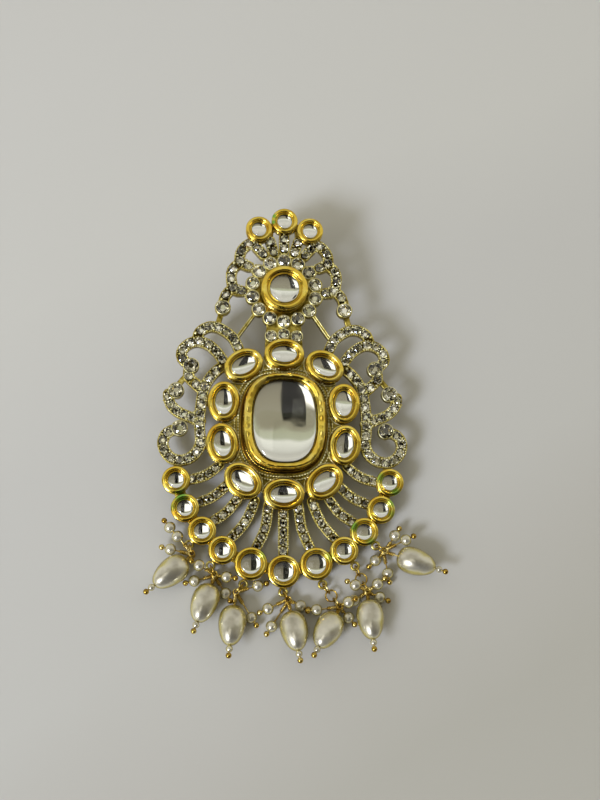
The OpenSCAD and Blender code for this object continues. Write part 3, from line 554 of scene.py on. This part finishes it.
def cup_profile(h, edge, deep=1.0):
    """Section of a cup from under its floor, up its wall, over the round crown and down to the small lip
    that holds the stone at inset edge. A bead runs round its foot. The crown is an arch whose places are
    shares of edge and whose drop is scaled by deep."""
    foot = [(POLE, 0.02), (0.08, 0.02), (-0.03, 0.07), (-0.07, 0.16), (-0.04, 0.26), (0.04, 0.31),
            (0.14, 0.28), (0.22, 0.28), (0.25, 0.5), (0.16, 1.0), (-0.06, h - 0.75 * deep)]
    arch = [(0.02, 0.5), (0.04, 0.32), (0.08, 0.19), (0.14, 0.11), (0.23, 0.06), (0.35, 0.02), (0.46, 0.0),
            (0.54, 0.03), (0.61, 0.13), (0.67, 0.32), (0.72, 0.56), (0.77, 0.7)]
    crown = [(share * edge - 0.15 * (1 - share), h - drop * deep) for share, drop in arch]
    lip = [(edge - 0.25, h - 0.65 * deep), (edge - 0.17, h - 0.56 * deep), (edge - 0.07, h - 0.56 * deep),
           (edge, h - 0.68 * deep), (edge, h - 1.0), (edge - 0.3, h - 1.1), (edge - 0.3, 0.45), (POLE, 0.45)]
    return foot + crown + lip

def turns(degrees):
    """Cosine and sine of an angle in degrees."""
    return math.cos(math.radians(degrees)), math.sin(math.radians(degrees))

def set_down(local, place):
    """Puts a shape drawn about the origin at a setting's (u, v, turn in degrees), on its pad."""
    u, v, turn = place
    c, s = turns(turn)
    x, y, z = np.moveaxis(local, -1, 0)
    return lay(np.stack([u + c * x - s * y, v + s * x + c * y, SEAT_W + z], -1))

CUP_H, ROUND_EDGE = 2.3, 1.5  # the round cups' height, and the width of their crowns
CREST_H, CREST_EDGE = CUP_H + 0.9, 2.3
SMALL_D, LOW_D, CREST_D = 7.1, 8.2, 12.6  # outer diameters of the cups
# Middles (u, v) of the three cups on the crest's top and the eleven on the lower rim, left to right.
TOP = [(-7.1, 54.6), (0, 57.2), (7.1, 54.6)]
RIM_RIGHT = [(28.0, -15.6), (25.5, -22.8), (21.0, -28.6), (15.7, -33.5), (8.4, -36.9)]
RIM = [(-u, v) for u, v in RIM_RIGHT] + [(0, -38.8)] + RIM_RIGHT[::-1]
RIM_D = [SMALL_D] * 4 + [LOW_D] * 3 + [SMALL_D] * 4

def make_cups(name, node, grids, h, spots=()):
    """Makes the cups of one solid node, h high: bright on the crown and on the bead at the foot, with painted
    shade in between. The plating's green interference colour fades round spots of (u, v, reach, strength)."""
    def green(p):
        """The strongest spot at each point, on the crown alone."""
        shown = [strength * np.clip(1.4 - np.hypot(p[:, 0] - u, p[:, 1] - v) / reach, 0, 1)
                 for u, v, reach, strength in spots]
        return np.max(shown, axis=0) * (p[:, 2] > SEAT_W + 1.2)
    mesh = skin(name, grids)
    write_by_height(mesh, "unshaded", [0, 0.15, 0.4, 0.45, h - 0.8, h - 0.6], [0.3, 0.8, 0.8, 0, 0.1, 1], SEAT_W)
    if spots:
        write_on(mesh, "green_glint", green)
    dress(name, mesh, [polished_gold], [node])

def round_cup(d, h, edge):
    """A round cup, d across and h high."""
    return ring_of(d / 2, d / 2, 2, cup_profile(h, edge), 64)

top_cups = [set_down(round_cup(SMALL_D, CUP_H, ROUND_EDGE), (*p, 0)) for p in TOP]
make_cups("top_cups", "top_settings", top_cups, CUP_H, [(-3.0, 58.4, 0.7, 0.9), (-3.2, 56.6, 0.7, 0.9)])
rim_cups = [set_down(round_cup(d, CUP_H, ROUND_EDGE), (*p, 0)) for p, d in zip(RIM, RIM_D)]
make_cups("rim_cups", "rim_settings", rim_cups, CUP_H,
          [(-26.6, -19.8, 1.8, 0.9), (-28.8, -22.6, 1.1, 0.45), (25.5, -14.4, 1.4, 0.7),
           (29.4, -18.3, 1.5, 0.8), (28.4, -20.9, 1.3, 0.75), (28.4, -24.0, 1.1, 0.55),
           (18.1, -27.2, 1.5, 0.85), (22.7, -31.5, 1.3, 0.7), (-5.2, -34.5, 1.3, 0.55),
           (11.7, -35.0, 1.2, 0.5)])
CREST = (0, 37.3, 0)
make_cups("crest_cup", "crest_setting", set_down(round_cup(CREST_D, CREST_H, CREST_EDGE), CREST), CREST_H)

OVAL_A, OVAL_B, OVAL_H, OVAL_EDGE = 5.3, 4.15, 2.5, 1.87
# Middle (u, v) and turn in degrees of each oval, clockwise from the top one.
OVAL_RIGHT = [(10.9, 15.6, -30), (16.0, 5.5, 90), (16.2, -5.8, 82), (10.7, -15.6, 42)]
OVALS = [(0, 18.9, 0)] + OVAL_RIGHT + [(0, -19.0, 0)] + [(-u, v, 180 - t) for u, v, t in OVAL_RIGHT[::-1]]
oval_cup = ring_of(OVAL_A, OVAL_B, 2, cup_profile(OVAL_H, OVAL_EDGE, 1.1), 72)
make_cups("oval_cups", "oval_settings", [set_down(oval_cup, p) for p in OVALS], OVAL_H)

# On the main plate a thin collar stands round each oval cup. Beyond the plate's edge it runs in under
# the cup.
PLATE_A, PLATE_B, PLATE_POWER = 16.4, 19.4, 2.2  # half sizes of the main plate, and its outline's power
rounded = [(0.0, -0.1), (0.0, 0.18), (0.07, 0.32), (0.18, 0.38), (0.29, 0.32), (0.36, 0.18), (0.36, -0.1),
           (0.0, -0.1)]
outside = ring_of(OVAL_A + 0.62, OVAL_B + 0.62, 2, rounded, 120)
inside = ring_of(OVAL_A - 0.2, OVAL_B - 0.2, 2, rounded, 120)
collars = []
for p in OVALS:
    shown = unlay(set_down(outside, p)[0])
    across, up = np.abs(shown[:, 0]) / PLATE_A, np.abs(shown[:, 1]) / PLATE_B
    on_plate = across ** PLATE_POWER + up ** PLATE_POWER < 1
    collars.append(set_down(np.where(on_plate[None, :, None], outside, inside), p))
trim("oval_collars", collars, [SEAT_W + 0.1, SEAT_W + 0.35], [0.1, 1.0])

# The mirror stones
# Kundan-style stones: clear glass cabochons, pressed and fire-polished, flat and silvered behind.
# The dome over the flat mirror works as a hollow mirror, so the room stands in it upside down.

# Crown glass, pressed and fire-polished: colourless, with a slightly uneven skin.
clear_glass, tree, shader, place = finish_of("pressed_glass", "FAFAF6", Roughness=0.0, IOR=1.5,
                                             Transmission_Weight=1.0, Specular_IOR_Level=0.25)
wave = add(tree, "ShaderNodeTexNoise", {"Vector": place, "Scale": 420.0, "Detail": 1.0})
bump = add(tree, "ShaderNodeBump", {"Height": wave, "Strength": 0.05, "Distance": 0.0001})
drive(tree, shader, Normal=bump)
# Silvering under lacquer: a mirror with a slight ripple, so the image in it wanders.
silvering, tree, shader, place = finish_of("silvered_back", "E6E6E0", Metallic=1.0, Roughness=0.015)
# Painted reflection: brown spots along the stone's edge stand for the cup's dark inner edge seen in the
# mirror.
spots = add(tree, "ShaderNodeTexNoise", {"Vector": place, "Scale": 1300.0, "Detail": 3.0})
edge = add(tree, "ShaderNodeAttribute", attribute_name="edge").outputs["Fac"]
painted_edge_shade = add(tree, "ShaderNodeMath", {0: edge, 1: spots}, operation="MULTIPLY")
shown = add(tree, "ShaderNodeValToRGB", {"Fac": painted_edge_shade}, [(0.32, "E6E6E0"), (0.48, "4A3C28")])
wave = add(tree, "ShaderNodeTexNoise", {"Vector": place, "Scale": 260.0, "Detail": 0.0})
bump = add(tree, "ShaderNodeBump", {"Height": wave, "Strength": 0.055, "Distance": 0.0001})
drive(tree, shader, Base_Color=shown, Normal=bump)

dice = np.random.default_rng(8)

def dome_over(rim, t, foot, rise):
    """Rows of a dome over the outline rim: drawn in by cos t and lifted over foot by rise sin t."""
    drawn_in = np.stack([np.cos(t), np.cos(t), 0 * t], -1)[:, None]
    return rim * drawn_in + np.stack([0 * t, 0 * t, foot + rise * np.sin(t)], -1)[:, None]

def mirror_stone(half_a, half_b, h, rise, count):
    """A cabochon: flat back, low wall, and a dome whose section is a quarter of an ellipse of height rise.
    The back is ground a little out of true (z grows by a x + b y), so that no two show the room alike.
    Returns its grid and the material of each band of rows (1 silvered, 0 clear)."""
    back, wall = 0.62, h - 1.22
    slope = np.clip(dice.normal(0, 0.025, 2), -0.045, 0.045)
    low = [(POLE, back), (0.5, back), (-0.24, back), (-0.24, wall), (0.06, wall + 0.14)]
    grid = ring_of(half_a, half_b, 2, low, count)
    grid[:3, :, 2] += grid[:3, :, :2] @ slope
    rim = ring_of(half_a - 0.06, half_b - 0.06, 2, [(0, 0)], count)
    dome = dome_over(rim, np.linspace(0, math.pi / 2, 12), h - 0.95, rise)
    return np.concatenate([grid, dome]), [1, 1, 1, 1] + [0] * 12

def set_stone(name, node, local, place, bands):
    """Sets a stone down and marks how near each point is to its edge: 0 inside, 1 beyond it."""
    mesh = skin(name, set_down(local, place), bands, sharp=50)
    def near(p):
        """0 up to nine tenths of the way out to the edge, then rising to 1."""
        c, s = turns(place[2])
        x, y = p[:, 0] - place[0], p[:, 1] - place[1]
        x, y = c * x + s * y, c * y - s * x
        half = np.ptp(local[..., :2].reshape(-1, 2), axis=0) / 2
        out = (np.abs(x / half[0]) ** 2.5 + np.abs(y / half[1]) ** 2.5) ** 0.4
        return np.clip((out - 0.9) / 0.08, 0, 1)
    write_on(mesh, "edge", near)
    dress(name, mesh, [clear_glass, silvering], [node])

for kind, places, widths in (("top", TOP, [SMALL_D] * 3), ("rim", RIM, RIM_D)):
    for i, (p, d) in enumerate(zip(places, widths), 1):
        local, bands = mirror_stone(d / 2 - ROUND_EDGE, d / 2 - ROUND_EDGE, CUP_H, 0.6, 48)
        set_stone(f"{kind}_mirror_{i}", f"{kind}_stone_{i}", local, (*p, 0), bands)
local, bands = mirror_stone(CREST_D / 2 - CREST_EDGE, CREST_D / 2 - CREST_EDGE, CREST_H, 1.0, 64)
set_stone("crest_mirror", "crest_stone", local, CREST, bands)
for i, p in enumerate(OVALS, 1):
    local, bands = mirror_stone(OVAL_A - OVAL_EDGE, OVAL_B - OVAL_EDGE, OVAL_H, 0.65, 56)
    set_stone(f"oval_mirror_{i}", f"oval_stone_{i}", local, p, bands)

# The centre
# The largest cup, a cushion of 21.6 by 25.8 mm, hammered by hand and soldered on a chased flange,
# with the great mirror stone in it.

CENTRE_A, CENTRE_B, CUSHION = 10.8, 12.9, 2.7  # half sizes of the cup, and the power of its outline
ENDS = 0.78  # share of an inset that the two ends of the cup are drawn in by
h = 5.4  # height of the cup
section = [(POLE, 0.02), (-0.75, 0.02), (-0.9, 0.14), (-0.93, 0.34), (-0.88, 0.52), (-0.76, 0.58),
           (-0.64, 0.5), (-0.52, 0.22), (-0.36, 0.12), (-0.2, 0.24), (-0.1, 0.6), (-0.02, 0.72), (0.08, 0.7),
           (0.18, 0.9), (0.2, 1.6), (0.16, 2.4), (0.08, 3.4), (0.0, h - 1.3), (0.0, h - 1.0),
           (0.05, h - 0.75), (0.16, h - 0.52), (0.32, h - 0.34), (0.42, h - 0.27), (0.5, h - 0.16),
           (0.64, h - 0.06), (0.84, h), (1.08, h), (1.32, h - 0.04), (1.56, h - 0.1), (1.78, h - 0.18),
           (1.98, h - 0.3), (2.14, h - 0.46), (2.28, h - 0.68), (2.4, h - 0.9), (2.48, h - 0.9),
           (2.54, h - 1.0), (2.55, h - 1.3), (2.2, h - 1.4), (2.2, h - 2.9), (POLE, h - 2.9)]
FOOT_ROW, WALL_ROW, CROWN_ROW = 4.5, 11.0, 25  # places in the section of the two ropes and of the crown

def run_of_row(points):
    """How far each point of a row lies along it from the first."""
    return np.concatenate([[0], np.cumsum(np.linalg.norm(np.diff(points, axis=0), axis=1))])

cushion = ring_of(CENTRE_A, CENTRE_B, CUSHION, section, 560, ENDS)
along = run_of_row(cushion[12])
dice = np.random.default_rng(5)
waves = zip((3.7, 2.3, 5.9), dice.uniform(0, 6.28, 3))  # lengths of the hammer's dents in mm, and phases
dents = sum(np.sin(2 * math.pi * along / length + phase) for length, phase in waves)
# The dents lie along the crown. The beads at the foot of the flange and of the wall are roped.
row = np.arange(len(section))
crown = np.exp(-((row - CROWN_ROW) / 4.0) ** 2)[:, None]
ticks = np.abs(np.cos(math.pi * along / 0.7)) ** 0.6
rope = (np.exp(-((row - FOOT_ROW) / 1.5) ** 2) + np.exp(-((row - WALL_ROW) / 1.0) ** 2))[:, None]
cushion[..., 2] += 0.018 * crown * dents - 0.2 * rope * (1 - ticks)
mesh = skin("centre_cup", set_down(cushion, (0, 0, 0)))
# Painted shade browns the centre cup low on its flange and up its wall; its ropes and crown stay bright.
write_by_height(mesh, "unshaded", [0.1, 0.5, 0.7, 1.0, h - 1.5, h - 0.9, h - 0.45],
                [0, 0.6, 0.6, 0.05, 0.15, 0.4, 1], SEAT_W)
dress("centre_cup", mesh, [polished_gold], ["centre_setting"])

# Two rows of fine beading run round the flange, cast with the plate.
rounded = [(0.0, -0.1), (0.0, 0.16), (0.1, 0.34), (0.27, 0.42), (0.44, 0.34), (0.54, 0.16), (0.54, -0.1),
           (0.0, -0.1)]
rows_of_beads = []
for out in (1.3, 2.25):
    ring = ring_of(CENTRE_A + out + 0.27, CENTRE_B + out + 0.27, CUSHION, rounded, 900)
    swell = np.abs(np.cos(math.pi * run_of_row(ring[0]) / 0.78)) ** 0.6
    ring[1:6, :, 2] -= 0.3 * (1 - swell)
    rows_of_beads.append(set_down(ring, (0, 0, 0)))
trim("flange_beading", rows_of_beads, [SEAT_W + 0.08, SEAT_W + 0.4], [0.05, 1.2])

# The great mirror stone is a cushion too, a little rounder than its cup.
a, b, stone_cushion = CENTRE_A - 2.6, CENTRE_B - 2.6 * ENDS, 2.6
low = [(POLE, h - 2.85), (0.6, h - 2.85), (-0.5, h - 2.85), (-0.5, h - 1.5), (-0.05, h - 1.3), (0, h - 1.1)]
rim = ring_of(a, b, stone_cushion, [(0, 0)], 160)
dome = dome_over(rim, np.linspace(0.05, math.pi / 2, 18), h - 1.1, 1.5)
grid = np.concatenate([ring_of(a, b, stone_cushion, low, 160), dome])
set_stone("centre_mirror", "centre_stone", grid, (0, 0, 0), [1, 1, 1, 1, 1] + [0] * 18)

# The pearl clusters
# Glass beads dipped in pearl lacquer: one long drop with a seed bead at its tip, and two to four
# small rounds, on head pins that hang from the rim by jump rings and lie on the table.

EYE_W = 1.3  # height of the eyes' middles
RING_R, RING_WIRE, LINK_STEP = 1.45, 0.44, 2.25
LOOP_R, PIN_WIRE, BALL_D = 0.7, 0.36, 1.5
DROP_L, DROP_D, TAPER, PEARL_D, TIP_D, GAP = 10.4, 7.0, 0.18, 3.0, 1.7, 0.05
# Clusters: soldered eye u, v, direction of the links over the table, number of links.
LINKS = [(-74, 1), (-66, 1), (-132, 1), (-61, 1), (-54, 3), (-66, 3), (-33, 1)]
CLUSTERS = [(*eye, *link) for eye, link in zip(EYES, LINKS)]
# Head pins: cluster, place on the last link, direction, distance to the middle of the first pearl, that
# middle's height over the table, and number of round pearls (0: the drop).
PINS = [(0, 0, -139, 6.4, 3.8, 0), (0, 1, 166, 5.0, 3.2, 1), (0, 2, 131, 5.0, 4.0, 2),
        (1, 0, -109, 7.2, 3.95, 0), (1, 2, 154, 3.9, 4.4, 1), (1, -1, 194, 4.6, 1.6, 1),
        (1, 1, -10, 2.4, 3.0, 1), (1, -2, -58, 4.8, 1.6, 1),
        (2, 0, -96, 8.3, 4.0, 0), (2, -1, -58, 6.8, 1.6, 1), (2, 1, 15, 5.0, 2.4, 1),
        (3, 0, -81, 7.6, 4.05, 0), (3, -1, -124, 7.0, 1.6, 1), (3, 2, 205, 5.0, 2.8, 1),
        (3, 1, -22, 2.7, 1.6, 1),
        (4, 0, -121, 6.8, 4.1, 0), (4, 1, 187, 5.4, 2.4, 1), (4, -1, -50, 2.7, 1.6, 1),
        (4, 2, 20, 2.1, 4.1, 1),
        (5, 0, -88, 6.8, 4.0, 0), (5, 1, 36, 2.6, 2.8, 1), (5, 2, 158, 2.8, 3.6, 1),
        (5, -1, 212, 3.2, 1.6, 1), (5, -2, -24, 3.0, 1.6, 1),
        (6, 0, -20, 7.8, 3.8, 0), (6, 1, 56, 4.3, 3.2, 1), (6, 2, 25, 5.6, 4.2, 1),
        (6, -1, -138, 2.6, 1.8, 1), (6, -2, -80, 5.0, 1.6, 1)]

def link_at(cluster, n):
    """Middle of a cluster's link n in mm: the links run level from the eye, kept clear of the table."""
    u, v, direction, count = cluster
    eye = lay((u, v, EYE_W)) * 1000
    level = max(eye[2], TABLE_Z + RING_R + RING_WIRE / 2 + GAP)
    s = math.sqrt(RING_R ** 2 - (level - eye[2]) ** 2) + n * LINK_STEP
    c, d = turns(direction)
    return np.array([eye[0] + s * c, eye[1] + s * d, level])

def loop_at(pin):
    """Middle of a head pin's loop: on the last link's far side, 20 degrees of the link to a place."""
    cluster = CLUSTERS[pin[0]]
    c, d = turns(cluster[2])
    round_c, round_s = turns(20 * pin[1])
    return link_at(cluster, cluster[3] - 1) + RING_R * np.array([round_c * c, round_c * d, round_s])

def run_of(pin):
    """Start of a pin at its loop, and the three unit vectors along it, level across it, and up from both."""
    c, s = turns(pin[2])
    start = loop_at(pin) + LOOP_R * np.array([c, s, 0])
    rise = math.asin((TABLE_Z + pin[4] - start[2]) / pin[3])
    along = np.array([c * math.cos(rise), s * math.cos(rise), math.sin(rise)])
    across = np.array([-s, c, 0.0])
    return start, along, across, np.cross(along, across)

def on_pin(pin, shape):
    """Places a shape drawn with z along the pin, from its start, into the scene, in metres."""
    start, along, across, over = run_of(pin)
    return (start + shape[..., 2:] * along + shape[..., :1] * across + shape[..., 1:2] * over) / 1000

# Glass bead under pearl essence: cream, with a deep satin lustre, a sharp clear skin over it and
# a greenish-yellow tone where the surface turns away.
pearl_lacquer, tree, shader, place = finish_of("pearl_essence_lacquer", "E9E0C4", Metallic=0.66,
                                               Roughness=0.27, Coat_Weight=0.8, Coat_Roughness=0.16,
                                               Coat_IOR=1.6)
turned_away = add(tree, "ShaderNodeLayerWeight", {"Blend": 0.35}).outputs["Facing"]
cloud = add(tree, "ShaderNodeTexNoise", {"Vector": place, "Scale": 340.0, "Detail": 2.0})
tone = add(tree, "ShaderNodeMath", {0: cloud, 1: 0.5, 2: -0.25}, operation="MULTIPLY_ADD")
tone = add(tree, "ShaderNodeMath", {0: turned_away, 1: tone}, operation="ADD")
body = add(tree, "ShaderNodeValToRGB", {"Fac": tone},
           [(0.0, "A8A28C"), (0.12, "CCC7B2"), (0.24, "DED8B6"), (0.38, "D0C268"), (0.65, "8E7A26")])
drive(tree, shader, Base_Color=body)

def drop_shape():
    """A drop drawn along z and narrower towards its tip: radius D/2 sin(t)^0.85 (1 - TAPER cos t), height
    L/2 cos t."""
    t = np.linspace(math.pi, 0, 30)[:, None]
    k = 2 * math.pi * np.arange(40) / 40
    r = DROP_D / 2 * np.maximum(np.sin(t), 0) ** 0.85 * (1 - TAPER * np.cos(t))
    r = r * (1 + 0.006 * np.sin(2 * k + 3 * t))
    return np.stack([r * np.cos(k), r * np.sin(k), DROP_L / 2 * np.cos(t) + 0 * k], -1)

along_z = np.array([0, 0, 1.0])
round_pearl = ball_of((PEARL_D / 2, PEARL_D / 2, PEARL_D / 2 * 0.97), 17, 28)
seed_bead = ball_of((TIP_D / 2,) * 3, 17, 28)
for k in range(len(CLUSTERS)):
    pins = [p for p in PINS if p[0] == k]
    drop = [p for p in pins if p[5] == 0][0]
    mesh = skin(f"drop_{k + 1}", on_pin(drop, drop_shape() + along_z * drop[3]))
    dress(f"drop_{k + 1}", mesh, [pearl_lacquer], [f"drop_pearl_{k + 1}"])
    shapes = [on_pin(drop, seed_bead + along_z * (drop[3] + DROP_L / 2 + TIP_D / 2 + GAP))]
    shapes += [on_pin(p, round_pearl + along_z * (p[3] + n * (PEARL_D + GAP)))
               for p in pins for n in range(p[5])]
    mesh = skin(f"rounds_{k + 1}", shapes)
    dress(f"rounds_{k + 1}", mesh, [pearl_lacquer], [f"small_pearls_{k + 1}"])

# The wires
# Gold-plated brass wire. A head pin is bent to a round loop and its end wound on its own neck;
# it runs through its pearls to a ball. Jump rings are plain rings of heavier wire.

# Drawn brass wire, gold-plated: smooth, and more olive and duller than the cups.
gold_wire, tree, shader, place = finish_of("gold_plated_wire", "E8C257", Metallic=1.0, Roughness=0.15)
cloud = add(tree, "ShaderNodeTexNoise", {"Vector": place, "Scale": 600.0, "Detail": 2.0})
hue = add(tree, "ShaderNodeValToRGB", {"Fac": cloud}, [(0.3, "92702A"), (0.52, "C2A549"), (0.75, "F2E4A6")])
dull = add(tree, "ShaderNodeMapRange", {"Value": cloud, "To Min": 0.14, "To Max": 0.28})
drive(tree, shader, Base_Color=hue, Roughness=dull)

def ball_far(pin):
    """Distance from the pin's start to the ball that ends it."""
    if pin[5] == 0:
        return pin[3] + DROP_L / 2 + TIP_D + 0.15 + BALL_D / 2
    return pin[3] + (pin[5] - 1) * (PEARL_D + GAP) + PEARL_D / 2 + BALL_D / 2 + GAP

WIND_R, WIND_PITCH = 0.38, 0.44
step = np.linspace(0, 1, 96)

def wound_neck(free):
    """The wire's end wound on its own neck: a helix along 0.3 mm and 0.6 of the free run, 2.6 mm at most."""
    long = min(2.6, 0.3 + 0.6 * free)
    turn = 2 * math.pi * step * long / WIND_PITCH
    return np.stack([WIND_R * np.cos(turn), WIND_R * np.sin(turn), 0.02 + step * long], -1)

for k in range(len(CLUSTERS)):
    rings, wires, winds, balls = [], [], [], []
    for pin in (p for p in PINS if p[0] == k):
        rings.append((loop_at(pin) + ring_shape(LOOP_R, PIN_WIRE)) / 1000)
        straight = np.stack([0 * step, 0 * step, step * ball_far(pin)], -1)
        wires.append(on_pin(pin, wire_along(straight, PIN_WIRE / 2)))
        free = pin[3] - (DROP_L / 2 if pin[5] == 0 else PEARL_D / 2)
        winds.append(on_pin(pin, wire_along(wound_neck(free), 0.19, 8)))
        balls.append(on_pin(pin, ball_of((BALL_D / 2,) * 3, 15, 20) + along_z * ball_far(pin)))
    loose = bmesh.new()
    for number, shapes in enumerate((rings, wires, winds, balls)):
        part = skin(f"wire_part_{number}", shapes)
        loose.from_mesh(part)
        bpy.data.meshes.remove(part)
    mesh = bpy.data.meshes.new(f"wires_{k + 1}")
    loose.to_mesh(mesh)
    loose.free()
    dress(f"wires_{k + 1}", mesh, [gold_wire], [f"head_pins_{k + 1}"])

links = []
for cluster in CLUSTERS:
    c, s = turns(cluster[2])
    for n in range(cluster[3]):
        x, y, z = np.moveaxis(ring_shape(RING_R, RING_WIRE, 48, 12), -1, 0)
        if n % 2 == 0:
            y, z = -z, y
        links.append((link_at(cluster, n) + np.stack([c * x - s * y, s * x + c * y, z], -1)) / 1000)
mesh = skin("link_rings", links)
dress("link_rings", mesh, [gold_wire], ["jump_rings"])

# The brooch pin
# A bar brooch fitting of plated brass, soldered across the back: the bar, two posts that end in barrels, and
# the stem between them, in one plain piece.

# Stamped brass, gold-plated and plain: satin, with fine scratches along the bar.
pin_plating, tree, shader, place = finish_of("gold_plated_fitting", "CDA85A", Metallic=1.0, Roughness=0.27)
run = add(tree, "ShaderNodeMapping", {"Vector": place, "Scale": (0.06, 1.0, 1.0)})
scratch = add(tree, "ShaderNodeTexNoise", {"Vector": run, "Scale": 9000.0, "Detail": 2.0})
dull = add(tree, "ShaderNodeMapRange", {"Value": scratch, "To Min": 0.16, "To Max": 0.4})
hue = add(tree, "ShaderNodeValToRGB", {"Fac": scratch}, [(0.3, "B9924A"), (0.7, "D8B469")])
drive(tree, shader, Base_Color=hue, Roughness=dull)

mesh = merged_copy("brooch_fitting", "brooch_pin")[0]
fitting = dress("brooch_fitting", mesh, [pin_plating], ["brooch_pin"])
soften(fitting, 0.00015, True)
